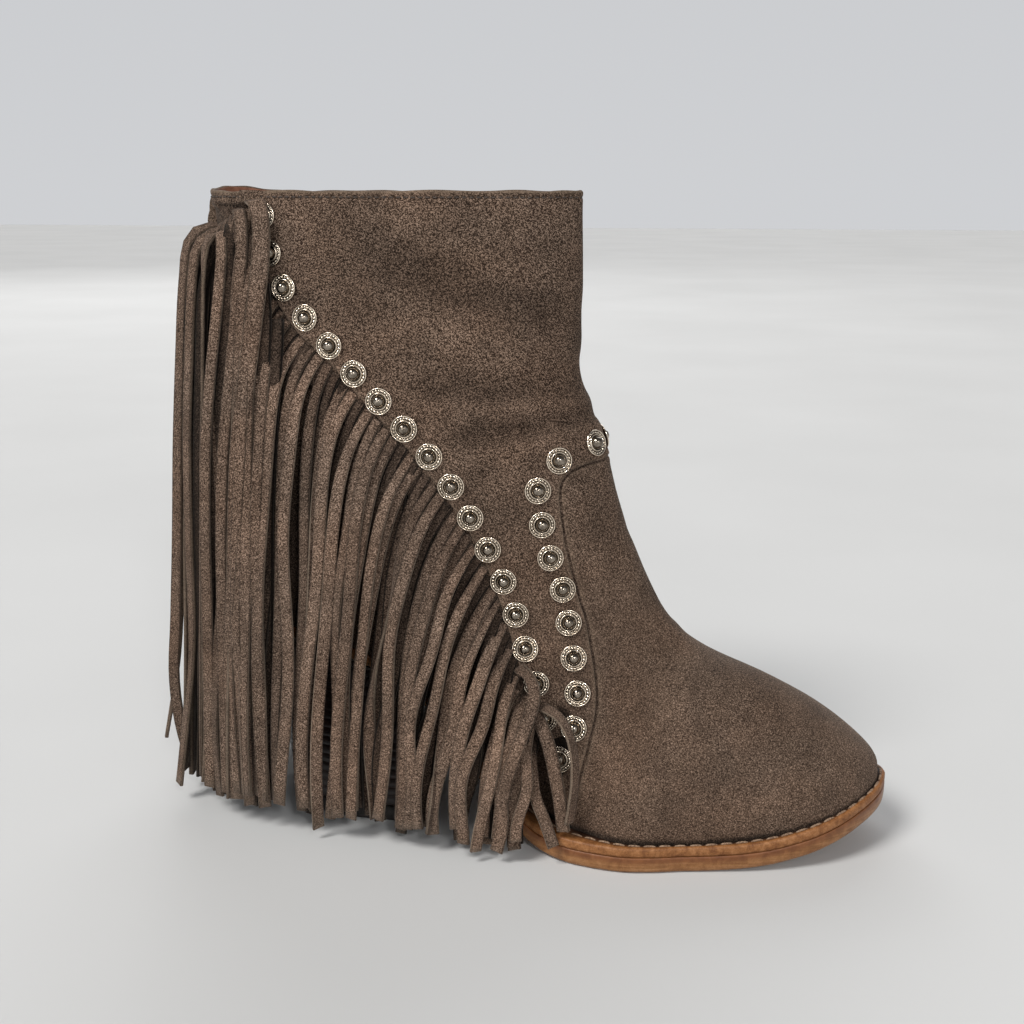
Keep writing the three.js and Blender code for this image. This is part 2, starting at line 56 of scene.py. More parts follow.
# zone, ridgeX, ridgeZ, backX, backZ, lateral, medial, widest, backPower, ridgePower, swing
SECTIONS = [
    ("shaft", 52.6, 100.0, -4.1, 100.0, 62.0, 62.0, .40, 2.3, 1.7, 0),
    ("shaft", 52.7, 89.2, -3.0, 90.0, 67.5, 67.5, .40, 2.3, 1.7, 0),
    ("shaft", 52.8, 79.2, -1.6, 80.0, 71.8, 71.8, .40, 2.2, 1.75, 0),
    ("shaft", 52.2, 73.8, -0.2, 70.9, 74.4, 74.4, .40, 2.2, 1.8, 0),
    ("shaft", 54.2, 68.4, 1.0, 62.5, 77.0, 77.0, .40, 2.2, 1.9, 0),
    ("shaft", 56.4, 61.3, 1.5, 54.6, 78.2, 78.2, .38, 2.2, 1.95, 0),
    ("shaft", 58.2, 54.0, 1.2, 47.5, 78.2, 77.0, .36, 2.2, 2.0, 0),
    ("shaft", 60.4, 47.3, 0.8, 41.3, 77.0, 75.6, .34, 2.2, 2.0, 0),
    ("shaft", 62.8, 41.3, 0.9, 35.0, 75.6, 73.0, .32, 2.2, 2.0, 0),
    ("shaft", 65.0, 36.7, 1.6, 27.5, 74.4, 70.8, .32, 2.2, 2.0, 0),
    ("foot", 66.6, 99.1, 16.0, 60.5, 74.4, 68.2, .36, 2.2, 2.0, 0),
    ("foot", 68.0, 94.9, 30.5, 33.9, 74.4, 67.0, .36, 2.2, 2.0, 0),
    ("foot", 69.4, 90.6, 43.8, 4.9, 83.0, 66.4, .34, 2.6, 2.0, 0),
    ("foot", 71.4, 86.4, 59.0, -3.6, 115.0, 75.6, .30, 3.0, 2.0, 0),
    ("foot", 74.2, 81.6, 69.0, -3.6, 109.5, 90.0, .28, 3.0, 2.0, 0.8),
    ("foot", 79.0, 75.5, 77.4, -2.4, 95.5, 90.2, .28, 3.0, 2.0, 1.5),
    ("foot", 84.6, 67.8, 84.6, 1.2, 83.5, 83.5, .29, 3.0, 2.05, 2.6),
    ("foot", 90.0, 58.6, 90.2, 7.2, 70.5, 71.3, .31, 3.0, 2.1, 3.9),
    ("foot", 94.5, 49.0, 94.8, 13.2, 50.0, 53.5, .36, 3.0, 2.2, 5.8),
    ("foot", 97.2, 41.8, 97.3, 17.5, 29.5, 37.5, .42, 2.8, 2.2, 7.2),
    ("foot", 98.3, 37.5, 98.4, 21.1, 15.0, 24.0, .45, 2.5, 2.2, 7.8),
    ("foot", 98.7, 34.5, 98.8, 24.1, 5.0, 15.4, .50, 2.2, 2.2, 8.0),
]
# x, under, thick, welt
SOLE_PROFILE = np.array([
    (-2, 71, 4.6, .8), (15, 70.5, 4.6, .8), (30, 68.5, 4.6, .8), (45, 65, 4.6, .8), (60, 58.5, 4.6, .8),
    (72, 49.5, 4.6, .8), (84, 37, 4.6, .8), (95, 22.8, 4.7, 1.0), (104, 12.4, 4.9, 1.3), (112, 5.6, 5.3, 2.1),
    (119, 2.2, 5.8, 3.0), (126, .7, 6, 3.3), (134, 0, 6, 3.3), (174, 0, 6, 3.3), (188, .5, 6, 3.3),
    (200, 1.8, 6, 3.3), (212, 4.3, 6, 3.3), (224, 7.8, 6, 3.3), (234, 11.4, 6, 3.3), (244, 15, 6, 3.3)], float)
# x, outer edge, inner edge
OUTLINE = np.array([
    (0, 1, 1), (1, 8.5, 8.5), (5, 16, 16), (14, 23.5, 23), (30, 28.6, 27.6), (50, 29.8, 28), (80, 27.6, 23.5),
    (98, 31, 22.6), (112, 37, 23.8), (120, 42, 25.4), (128, 45.8, 27.4), (136, 48, 29.6), (144, 49.3, 32),
    (152, 49.6, 34.6), (162, 47.8, 37.6), (172, 44.8, 39.4), (185, 41.9, 39.6), (198, 38.9, 37.8),
    (209, 35.4, 35), (219, 31, 30.6), (228, 24.2, 24.8), (236, 14.6, 17), (240.4, 6, 10), (242, -2.6, 3.8)], float)
# level (share of the heel height), back, breast, half width
HEEL_ROWS = np.array([(0, 14.5, 70.5, 28), (.3, 12, 69, 27), (.7, 6.4, 68.5, 27), (1.08, 2.2, 70.5, 27.6)], float)

# Soft folds of the shaft, side view. depth mm (- trough, + ridge), reach above and below the line (mm).
FOLD_COLUMNS = ("line", "depth", "above", "below")
FOLDS = [
    ([(44, 214), (68, 206), (85, 200.3), (101.6, 193.4), (117.9, 189.3), (130, 186)], -2.0, 13, 8),
    ([(58, 188), (78.4, 181.6), (95.2, 177.4), (111.6, 175.7), (130, 172)], 1.5, 7, 7),
    ([(62, 168), (75, 163.7), (85.4, 162.8), (102.3, 162.3), (118.5, 162.7), (132, 163)], -1.6, 5, 3.6),
    ([(80, 158), (89, 157.6), (102.4, 158.2), (118.8, 158.3), (133, 157.7)], 0.6, 3, 3),
    ([(80, 144), (92.6, 146.6), (102.7, 147.4), (115.9, 149.7), (125.5, 151.7), (135, 154)], -2.3, 6.5, 2.0),
    ([(80, 139.5), (97, 141.5), (110, 143.5), (122, 146.5), (136, 149.5)], 1.1, 2.6, 6),
    ([(128, 118), (140, 112), (150, 106)], -0.5, 7, 7),
    ([(136, 78), (150, 70), (165, 62)], -0.4, 10, 10),
]
FOLDS = [dict(zip(FOLD_COLUMNS, row)) for row in FOLDS]

# Edge of the shaft panel over the fringe, and edge of the harness panel over the vamp (x, z).
FRINGE_SEAM = [
    (8.5, 227.6), (13, 227.4), (16.5, 222), (18.6, 212), (21.6, 196), (31.2, 183), (39.2, 176.4), (50.2, 165.2),
    (61.1, 153.6), (70, 144.6), (78.9, 133.5), (87.3, 122.0), (94.8, 109.4), (100.9, 94.5), (105.6, 79.3),
    (110.3, 65.8), (114.3, 56.4), (118, 47.4), (121, 39)]
VAMP_SEAM = [
    (139, 138.9), (135.8, 137.9), (132.5, 137.5), (129.4, 136.5), (126.1, 135), (124, 132.4), (123.1, 129),
    (123.6, 121.8), (125.2, 111), (127.8, 100), (130.8, 89), (133.2, 81.8), (135, 74.9), (137.4, 64.8),
    (138.7, 54.6), (138.4, 47.6), (137.1, 41), (135.7, 34.2), (132.7, 21.5), (130.5, 12.5)]

# Where a strand that starts this share along the seam ends (plan), how much of the way it
# springs out at once, over what share of its drop, and how evenly it goes the rest.
DRAPE_COLUMNS = ("along", "endX", "endY", "spring", "over", "power")
DRAPE = np.array([
    (0.00, -29, 1.2, .50, .05, 1.0), (0.03, -25, 19, .48, .05, 1.0), (0.06, -15, 30, .42, .05, 1.1),
    (0.09, -4, 38.4, .25, .05, 1.2), (0.12, 3, 39.6, .12, .05, 1.2), (0.20, 8.5, 40.4, .40, .04, 1.5),
    (0.29, 14, 41.2, .50, .035, 1.7), (0.38, 28, 42.4, .42, .05, 1.7), (0.46, 42, 43.6, .35, .08, 1.7),
    (0.63, 62, 45, .25, .09, 1.8), (0.76, 80, 46.4, .10, .1, 1.8), (0.88, 100, 48.2, .02, .1, 1.4),
    (0.95, 111, 49.2, .01, .1, 1.25), (1.00, 118, 49.6, .01, .1, 1.2)], float)


# ------------------------------------------------------------------ curves of the last
def column(table, col, x):
    """Smooth curve through a table's column that never overshoots its rows."""
    x = np.asarray(x, float)
    xs, ys = table[:, 0], table[:, col]
    h = np.diff(xs)
    d = np.diff(ys) / h
    m = np.zeros(len(xs))
    m[0], m[-1] = d[0], d[-1]
    for i in range(1, len(xs) - 1):
        if d[i - 1] * d[i] > 0:
            w1, w2 = 2 * h[i] + h[i - 1], h[i] + 2 * h[i - 1]
            m[i] = (w1 + w2) / (w1 / d[i - 1] + w2 / d[i])
    xc = np.clip(x, xs[0], xs[-1])
    i = np.clip(np.searchsorted(xs, xc, side="right") - 1, 0, len(xs) - 2)
    t = (xc - xs[i]) / h[i]
    return ((2 * t**3 - 3 * t**2 + 1) * ys[i] + (t**3 - 2 * t**2 + t) * h[i] * m[i]
            + (-2 * t**3 + 3 * t**2) * ys[i + 1] + (t**3 - t**2) * h[i] * m[i + 1])


def under(x):
    return column(SOLE_PROFILE, 1, x)


def bed(x):
    return under(x) + column(SOLE_PROFILE, 2, x)


def welt_top(x):
    return bed(x) + GAP + column(SOLE_PROFILE, 3, x)


def _rows():
    out = []
    for zone, rx, rz, bx, bz, la, me, wi, bp, rp, sw in SECTIONS:
        tall = COLLAR_HEIGHT if zone == "shaft" else INSTEP_HEIGHT
        across = BALL_WIDTH / 200
        out.append((rx * LENGTH / 100, rz * tall / 100, bx * LENGTH / 100, bz * tall / 100,
                    la * across, me * across, wi, bp, rp, sw * across))
    return np.array(out)


ROWS = _rows()
LAST = len(ROWS) - 1
RX, RZ, BX, BZ, LAT, MED, WID, BPW, RPW, SWG = range(10)


def section(s, shrink=0.0):
    """The rows' values at places s, shrunk by a wall thickness."""
    s = np.clip(np.asarray(s, float), 0, LAST - 1e-9)
    i = np.floor(s).astype(int)
    t = (s - i)[..., None]
    b, d = ROWS[i], ROWS[i + 1]
    a = np.where((i > 0)[..., None], ROWS[np.maximum(i - 1, 0)], 2 * b - d)
    e = np.where((i < LAST - 1)[..., None], ROWS[np.minimum(i + 2, LAST)], 2 * d - b)
    p = 0.5 * (2 * b + (d - a) * t + (2 * a - 5 * b + 4 * d - e) * t**2 + (3 * b - a - 3 * d + e) * t**3)
    p = p.copy()
    shrink = np.broadcast_to(np.asarray(shrink, float), s.shape)
    long = np.hypot(p[..., RX] - p[..., BX], p[..., RZ] - p[..., BZ])
    ux, uz = (p[..., RX] - p[..., BX]) / long, (p[..., RZ] - p[..., BZ]) / long
    p[..., BX] += ux * shrink
    p[..., BZ] += uz * shrink
    p[..., RX] -= ux * shrink
    p[..., RZ] -= uz * shrink
    p[..., LAT] += p[..., SWG] - shrink
    p[..., MED] -= p[..., SWG] + shrink
    return p


def skin(s, turn, shrink=0.0):
    """Points of the upper: turn 0 on the ridge, pi at the back, outer side first."""
    s, turn = np.broadcast_arrays(np.asarray(s, float), np.asarray(turn, float))
    q = section(s, shrink)
    around = np.mod(turn, 2 * np.pi)
    outer = around <= np.pi
    a = np.where(outer, around, 2 * np.pi - around)
    c = np.cos(a)
    power = np.where(c >= 0, q[..., RPW], q[..., BPW])
    ac, asn = np.abs(c) ** (2 / power), np.abs(np.sin(a)) ** (2 / power)
    w = q[..., WID]
    t = np.where(c >= 0, w + (1 - w) * ac, w - w * ac)
    wide = np.where(outer, q[..., LAT], q[..., MED])
    return np.stack([q[..., BX] + (q[..., RX] - q[..., BX]) * t,
                     q[..., SWG] + np.where(outer, -1, 1) * wide * asn,
                     q[..., BZ] + (q[..., RZ] - q[..., BZ]) * t], -1)


def outward(s, turn):
    h = 2e-3
    s = np.clip(np.asarray(s, float), h, LAST - 2 * h)
    n = np.cross(skin(s + h, turn) - skin(s - h, turn), skin(s, turn + h) - skin(s, turn - h))
    n /= np.maximum(np.linalg.norm(n, axis=-1, keepdims=True), 1e-12)
    q = section(s)
    mid = np.stack([(q[..., RX] + q[..., BX]) / 2, q[..., SWG], (q[..., RZ] + q[..., BZ]) / 2], -1)
    flip = np.sum(n * (skin(s, turn) - mid), -1, keepdims=True) < 0
    return np.where(flip, -n, n)


S_FINE = np.linspace(0, LAST, 2101)
Q_FINE = section(S_FINE)


def seen_at(x, z, side):
    """The place (s, turn) on the skin that is seen at x, z from the side."""
    off = (Q_FINE[:, RX] - Q_FINE[:, BX]) * (z - Q_FINE[:, BZ]) - (Q_FINE[:, RZ] - Q_FINE[:, BZ]) * (x - Q_FINE[:, BX])
    k = np.nonzero(off[:-1] * off[1:] <= 0)[0]
    k = k[0] if len(k) else 0
    f = off[k] / (off[k] - off[k + 1]) if off[k] != off[k + 1] else 0.0
    s = S_FINE[k] + f * (S_FINE[1] - S_FINE[0])
    q = section(s)
    dx, dz = q[RX] - q[BX], q[RZ] - q[BZ]
    t = ((x - q[BX]) * dx + (z - q[BZ]) * dz) / (dx * dx + dz * dz)
    front = t >= q[WID]
    share = (t - q[WID]) / (1 - q[WID]) if front else (q[WID] - t) / q[WID]
    c = min(max(share, 0), 1) ** ((q[RPW] if front else q[BPW]) / 2)
    a = math.acos(c) if front else math.pi - math.acos(c)
    return s, (a if side < 0 else 2 * math.pi - a)


def smooth_line(points, step):
    """Even steps along a smooth line through the points."""
    p = np.array(points, float)
    n = len(p)
    ext = np.vstack([2 * p[0] - p[1], p, 2 * p[-1] - p[-2]])
    out = []
    for i in range(n - 1):
        a, b, c, d = ext[i:i + 4]
        t0 = 0.0
        t1 = t0 + max(np.linalg.norm(b - a), 1e-9) ** .5
        t2 = t1 + max(np.linalg.norm(c - b), 1e-9) ** .5
        t3 = t2 + max(np.linalg.norm(d - c), 1e-9) ** .5
        for t in np.linspace(t1, t2, 24, endpoint=False):
            A1 = (t1 - t) / (t1 - t0) * a + (t - t0) / (t1 - t0) * b
            A2 = (t2 - t) / (t2 - t1) * b + (t - t1) / (t2 - t1) * c
            A3 = (t3 - t) / (t3 - t2) * c + (t - t2) / (t3 - t2) * d
            B1 = (t2 - t) / (t2 - t0) * A1 + (t - t0) / (t2 - t0) * A2
            B2 = (t3 - t) / (t3 - t1) * A2 + (t - t1) / (t3 - t1) * A3
            out.append((t2 - t) / (t2 - t1) * B1 + (t - t1) / (t2 - t1) * B2)
    out.append(p[-1])
    out = np.array(out)
    seg = np.r_[0, np.cumsum(np.linalg.norm(np.diff(out, axis=0), axis=1))]
    m = max(int(round(seg[-1] / step)) + 1, 2)
    at = np.linspace(0, seg[-1], m)
    return np.stack([np.interp(at, seg, out[:, k]) for k in range(p.shape[1])], 1)


def smoothstep(a, b, x):
    t = np.clip((np.asarray(x, float) - a) / (b - a), 0, 1)
    return t * t * (3 - 2 * t)


def line_distance(points, line):
    """Signed distance to a side-view line (+ to its left going along it) and share along it."""
    best = np.full(len(points), 1e9)
    sign = np.zeros(len(points))
    share = np.zeros(len(points))
    seg = np.r_[0, np.cumsum(np.linalg.norm(np.diff(line, axis=0), axis=1))]
    for i in range(len(line) - 1):
        a, d = line[i], line[i + 1] - line[i]
        l2 = d @ d
        r = points - a
        t = np.clip(r @ d / l2, 0, 1)
        v = r - t[:, None] * d
        dist = np.hypot(v[:, 0], v[:, 1])
        near = dist < best
        best = np.where(near, dist, best)
        sign = np.where(near, np.sign(d[0] * r[:, 1] - d[1] * r[:, 0]), sign)
        share = np.where(near, (seg[i] + t * math.sqrt(l2)) / seg[-1], share)
    return best * sign, share


FOLD_LINES = [smooth_line(f["line"], 3.0) for f in FOLDS]
SEAM_LINE = smooth_line(FRINGE_SEAM, 3.0)
VAMP_LINE = smooth_line(VAMP_SEAM, 3.0)


def folds_at(p):
    """Soft folds at points of the skin, along its outward direction (mm)."""
    xz = p[:, [0, 2]]
    out = np.zeros(len(p))
    inner = p[:, 1] > 0
    for f, line in zip(FOLDS, FOLD_LINES):
        d, share = line_distance(xz, line)
        reach = np.where(d > 0, f["above"], f["below"])
        start = 0.0 if f["line"][0][0] > 120 else 0.32
        fade = smoothstep(0, start, share) if start else np.minimum(smoothstep(0, .3, share), smoothstep(1, .7, share))
        ends = smoothstep(14, 3, np.abs(d)) if start else 1.0
        lump = 1 + .18 * np.sin(share * 17 + f["depth"] * 9)
        front = 1 - .62 * smoothstep(.70, 1, share) if start else 1.0
        out += f["depth"] * lump * fade * front * np.where(inner, .8, 1) * np.exp(-(d / reach) ** 2) * (ends if start else 1)
    return out


def waves_at(p, size, seed):
    return np.array([noise.noise(Vector((x / size + seed, y / size, z / size))) for x, y, z in p])


def seams_at(p):
    """Where the shell steps down behind the fringe seam (mm)."""
    d, share = line_distance(p[:, [0, 2]], SEAM_LINE)
    behind = np.maximum(d * -1, 0)
    return -1.3 * smoothstep(0, 1.6, behind) * smoothstep(30, 12, behind)


# ------------------------------------------------------------------ mesh helpers
def to_world(p):
    p = np.asarray(p, float)
    return np.stack([p[..., 0] * MM + OFF_X, p[..., 1] * MM + OFF_Y, p[..., 2] * MM], -1)


class Builder:
    """Gathers points and faces of one joined piece, with per-point numbers."""

    def __init__(self):
        self.v, self.f, self.m, self.attr = [], [], [], {}
        self.n = 0

    def add(self, points, faces, material=0, **attr):
        points = np.asarray(points, float).reshape(-1, 3)
        self.v.append(points)
        for f in faces:
            self.f.append(tuple(int(k) + self.n for k in f))
            self.m.append(material)
        for name in set(self.attr) | set(attr):
            col = self.attr.setdefault(name, [np.zeros(self.n)] if self.n else [])
            col.append(np.broadcast_to(np.asarray(attr.get(name, 0.0), float), (len(points),)).copy())
        self.n += len(points)

    def object(self, name, materials, slot, replaces=(), smooth=True):
        v = np.concatenate(self.v)
        mesh = bpy.data.meshes.new(name)
        mesh.from_pydata(to_world(v).tolist(), [], self.f)
        for mat in materials:
            mesh.materials.append(mat)
        mesh.polygons.foreach_set("material_index", self.m)
        mesh.polygons.foreach_set("use_smooth", [smooth] * len(self.f))
        for key, cols in self.attr.items():
            a = mesh.attributes.new(key, "FLOAT", "POINT")
            a.data.foreach_set("value", np.concatenate(cols).astype(np.float32))
        mesh.validate()
        mesh.update()
        return place(bpy.data.objects.new(name, mesh), replaces)


def place(obj, replaces=()):
    if obj.name not in bpy.context.scene.collection.objects:
        bpy.context.scene.collection.objects.link(obj)
    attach(obj, "root")
    if replaces:
        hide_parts(*replaces)
    return obj


def grid_faces(rows, cols, closed):
    out = []
    for r in range(rows - 1):
        for c in range(cols if closed else cols - 1):
            a, b = r * cols + c, r * cols + (c + 1) % cols
            out.append((a, b, b + cols, a + cols))
    return out


def tube(path, radii, sides=6, squash=1.0, up=(0, 0, 1)):
    """Points and faces of a closed tube with rounded ends along a path."""
    path = np.asarray(path, float)
    n = len(path)
    t = np.gradient(path, axis=0)
    t /= np.linalg.norm(t, axis=1, keepdims=True)
    up = np.broadcast_to(np.asarray(up, float), path.shape)
    a = np.cross(t, up)
    a /= np.maximum(np.linalg.norm(a, axis=1, keepdims=True), 1e-9)
    b = np.cross(a, t)
    ang = np.arange(sides) * 2 * np.pi / sides
    ring = a[:, None] * np.cos(ang)[None, :, None] + b[:, None] * (np.sin(ang) * squash)[None, :, None]
    pts = path[:, None] + ring * np.asarray(radii, float)[:, None, None]
    pts = pts.reshape(-1, 3)
    faces = grid_faces(n, sides, True)
    faces.append(tuple(range(sides))[::-1])
    faces.append(tuple((n - 1) * sides + k for k in range(sides)))
    return pts, faces


# ------------------------------------------------------------------ materials
def new_material(name):
    mat = bpy.data.materials.new(name)
    mat.use_nodes = True
    nt = mat.node_tree
    nt.nodes.clear()
    out = nt.nodes.new("ShaderNodeOutputMaterial")
    bsdf = nt.nodes.new("ShaderNodeBsdfPrincipled")
    nt.links.new(bsdf.outputs[0], out.inputs[0])
    coord = nt.nodes.new("ShaderNodeTexCoord")
    return mat, nt, bsdf, coord.outputs["Object"]


def link(nt, value, socket):
    if isinstance(value, bpy.types.NodeSocket):
        nt.links.new(value, socket)
    else:
        socket.default_value = value


def n_noise(nt, coord, scale, detail=2.0, rough=0.5, stretch=None, distort=0.0):
    if stretch:
        m = nt.nodes.new("ShaderNodeMapping")
        m.inputs["Scale"].default_value = stretch
        nt.links.new(coord, m.inputs["Vector"])
        coord = m.outputs[0]
    t = nt.nodes.new("ShaderNodeTexNoise")
    t.inputs["Scale"].default_value = scale
    t.inputs["Detail"].default_value = detail
    t.inputs["Roughness"].default_value = rough
    t.inputs["Distortion"].default_value = distort
    nt.links.new(coord, t.inputs["Vector"])
    return t.outputs["Fac"]


def n_range(nt, value, lo, hi, to_lo, to_hi, smooth=False):
    m = nt.nodes.new("ShaderNodeMapRange")
    m.interpolation_type = "SMOOTHSTEP" if smooth else "LINEAR"
    link(nt, value, m.inputs["Value"])
    m.inputs["From Min"].default_value, m.inputs["From Max"].default_value = lo, hi
    m.inputs["To Min"].default_value, m.inputs["To Max"].default_value = to_lo, to_hi
    return m.outputs["Result"]


def n_math(nt, op, a, b=None):
    m = nt.nodes.new("ShaderNodeMath")
    m.operation = op
    link(nt, a, m.inputs[0])
    if b is not None:
        link(nt, b, m.inputs[1])
    return m.outputs[0]


def n_mix(nt, fac, a, b, blend="MIX"):
    m = nt.nodes.new("ShaderNodeMix")
    m.data_type = "RGBA"
    m.blend_type = blend
    m.clamp_factor = True
    link(nt, fac, m.inputs["Factor"])
    for key, value in (("A", a), ("B", b)):
        sock = [x for x in m.inputs if x.name == key and x.type == "RGBA"][0]
        link(nt, value if isinstance(value, bpy.types.NodeSocket) else (*value, 1.0), sock)
    return [x for x in m.outputs if x.type == "RGBA"][0]


def n_ramp(nt, fac, stops):
    r = nt.nodes.new("ShaderNodeValToRGB")
    while len(r.color_ramp.elements) < len(stops):
        r.color_ramp.elements.new(0.5)
    for el, (pos, col) in zip(r.color_ramp.elements, stops):
        el.position, el.color = pos, (*col, 1.0)
    nt.links.new(fac, r.inputs[0])
    return r.outputs[0]


def n_attr(nt, name):
    a = nt.nodes.new("ShaderNodeAttribute")
    a.attribute_name = name
    return a.outputs["Fac"]


def n_bump(nt, heights, normal=None):
    for height, strength, distance in heights:
        b = nt.nodes.new("ShaderNodeBump")
        b.inputs["Strength"].default_value = strength
        b.inputs["Distance"].default_value = distance
        nt.links.new(height, b.inputs["Height"])
        if normal is not None:
            nt.links.new(normal, b.inputs["Normal"])
        normal = b.outputs[0]
    return normal


def n_scale(nt, colour, value):
    """Colour times a number."""
    m = nt.nodes.new("ShaderNodeVectorMath")
    m.operation = "SCALE"
    nt.links.new(colour, m.inputs[0])
    link(nt, value, m.inputs["Scale"])
    return m.outputs[0]


def suede(name, mean, light_edge, grain=1.0, attrs=True):
    mat, nt, bsdf, co = new_material(name)
    fine = n_noise(nt, co, 2150 * grain, 1.0, .6)
    hairs = []
    for lean in (34, -47):
        turn_co = nt.nodes.new("ShaderNodeMapping")
        turn_co.inputs["Rotation"].default_value = (0, math.radians(lean), math.radians(lean * .4))
        nt.links.new(co, turn_co.inputs["Vector"])
        hairs.append(n_noise(nt, turn_co.outputs[0], 1.0, 1.3, .6, stretch=(1450 * grain, 2400 * grain, 3100 * grain), distort=.3))
    way = n_range(nt, n_noise(nt, co, 330, 2.0, .5), .44, .56, 0, 1)
    mid = n_math(nt, "ADD", n_math(nt, "MULTIPLY", hairs[0], way), n_math(nt, "MULTIPLY", hairs[1], n_math(nt, "SUBTRACT", 1.0, way)))
    # longer hair up the shaft, short on the vamp
    high = nt.nodes.new("ShaderNodeSeparateXYZ")
    nt.links.new(co, high.inputs[0])
    long_hair_and_shade = n_range(nt, high.outputs["Z"], .085, .150, 0, 1, True)
    share = n_math(nt, "ADD", n_range(nt, n_noise(nt, co, 15, 1.0, .5), .42, .60, .22, .42, True), n_math(nt, "MULTIPLY", long_hair_and_shade, .38 if grain == 1.0 else .12))
    speck = n_math(nt, "ADD", n_math(nt, "MULTIPLY", fine, n_math(nt, "SUBTRACT", 1.0, share)), n_math(nt, "MULTIPLY", mid, share))
    push = n_math(nt, "ADD", 1.0, n_math(nt, "MULTIPLY", long_hair_and_shade, .98 if grain == 1.0 else .40))
    speck = n_math(nt, "ADD", n_math(nt, "MULTIPLY", n_math(nt, "SUBTRACT", speck, .5), push), .5)
    m = np.array(mean)
    col = n_ramp(nt, speck, [
        (0.36, tuple(m * np.array((.22, .19, .17)))), (0.45, tuple(m * np.array((.68, .66, .64)))), (0.52, tuple(m * 1.08)),
        (0.58, tuple(m * np.array((1.75, 1.78, 1.80)))), (0.67, tuple(m * np.array((2.9, 3.05, 3.2))))])
    patch = n_noise(nt, co, 75, 4.0, .62)
    broad = n_noise(nt, co, 24, 2.0, .5)
    shade = n_math(nt, "MULTIPLY", n_range(nt, patch, .32, .68, .77, 1.21), n_range(nt, broad, .35, .65, .88, 1.11))
    # nap brushed to a warmer or a greyer tint
    tint = n_noise(nt, co, 34, 3.0, .5)
    col = n_mix(nt, n_range(nt, tint, .36, .64, 0, .5), col, n_mix(nt, 1.0, col, (1.10, 1.0, .93), "MULTIPLY"))
    # painted shade: the shaft made darker than the vamp, standing in for how light falls on its folds
    shade = n_math(nt, "MULTIPLY", shade, n_math(nt, "SUBTRACT", 1.0, n_math(nt, "MULTIPLY", long_hair_and_shade, .11 if grain == 1.0 else 0.0)))
    if attrs:
        # the per-point attribute multiplies in painted shading as well as random tone
        shade = n_math(nt, "MULTIPLY", shade, n_math(nt, "MAXIMUM", n_math(nt, "ADD", n_attr(nt, "tone"), 1.0), .04))
        col = n_mix(nt, n_math(nt, "MULTIPLY", n_attr(nt, "edge"), n_range(nt, mid, .36, .62, .35, 1.0)), col, light_edge)
    col = n_scale(nt, col, shade)
    nt.links.new(col, bsdf.inputs["Base Color"])
    bsdf.inputs["Roughness"].default_value = 0.96
    bsdf.inputs["Specular IOR Level"].default_value = 0.12
    bsdf.inputs["Sheen Weight"].default_value = 0.12
    bsdf.inputs["Sheen Roughness"].default_value = 0.45
    bsdf.inputs["Sheen Tint"].default_value = (0.75, 0.64, 0.55, 1)
    nt.links.new(n_bump(nt, [(patch, .12, .0012), (mid, .35, .0005), (fine, .55, .00032)]), bsdf.inputs["Normal"])
    return mat


def leather(name, dark, mean, light, rough=(.38, .55), scale=1.0, coat=0.0, fibres=None, band=None):
    mat, nt, bsdf, co = new_material(name)
    blot = n_noise(nt, co, 160 * scale, 5.0, .62, distort=.4)
    fine = n_noise(nt, co, 900 * scale, 3.0, .65)
    f = n_math(nt, "ADD", n_math(nt, "MULTIPLY", blot, .62), n_math(nt, "MULTIPLY", fine, .38))
    if fibres:
        lines = n_noise(nt, co, 1.0, 3.0, .6, stretch=fibres)
        f = n_math(nt, "ADD", n_math(nt, "MULTIPLY", f, .62), n_math(nt, "MULTIPLY", lines, .38))
    col = n_ramp(nt, f, [(.36, dark), (.5, mean), (.64, light)])
    if band:
        col = n_mix(nt, n_attr(nt, "band"), col, n_mix(nt, n_range(nt, blot, .35, .65, 0, 1), band[0], band[1]))
    nt.links.new(col, bsdf.inputs["Base Color"])
    nt.links.new(n_range(nt, f, .35, .65, rough[1], rough[0]), bsdf.inputs["Roughness"])
    bsdf.inputs["Specular IOR Level"].default_value = .30
    bsdf.inputs["Coat Weight"].default_value = coat
    bsdf.inputs["Coat Roughness"].default_value = .25
    bumps = [(blot, .10, .0006), (fine, .22, .00025)]
    if fibres:
        bumps.append((lines, .25, .00025))
    nt.links.new(n_bump(nt, bumps), bsdf.inputs["Normal"])
    return mat


def thread(name, dark, light):
    mat, nt, bsdf, co = new_material(name)
    f = n_noise(nt, co, 1600, 2.0, .6)
    nt.links.new(n_ramp(nt, f, [(.35, dark), (.62, light)]), bsdf.inputs["Base Color"])
    bsdf.inputs["Roughness"].default_value = .7
    nt.links.new(n_bump(nt, [(f, .5, .0002)]), bsdf.inputs["Normal"])
    return mat


def metal(name):
    mat, nt, bsdf, co = new_material(name)
    wear = n_noise(nt, co, 700, 3.0, .6)
    pit = n_math(nt, "MULTIPLY", n_attr(nt, "pit"), n_range(nt, wear, .3, .7, .72, 1.0))
    # dark patina in the grooves; on the dome the same dark colour is painted reflection
    col = n_mix(nt, pit, n_mix(nt, n_range(nt, wear, .35, .7, 0, 1), (.89, .77, .63), (.69, .58, .45)), (.020, .015, .011))
    nt.links.new(col, bsdf.inputs["Base Color"])
    bsdf.inputs["Metallic"].default_value = 1.0
    rough = n_math(nt, "ADD", n_range(nt, wear, .3, .7, .10, .19), n_range(nt, pit, .88, 1.0, 0, .35))
    nt.links.new(rough, bsdf.inputs["Roughness"])
    nt.links.new(n_bump(nt, [(wear, .08, .0002)]), bsdf.inputs["Normal"])
    return mat


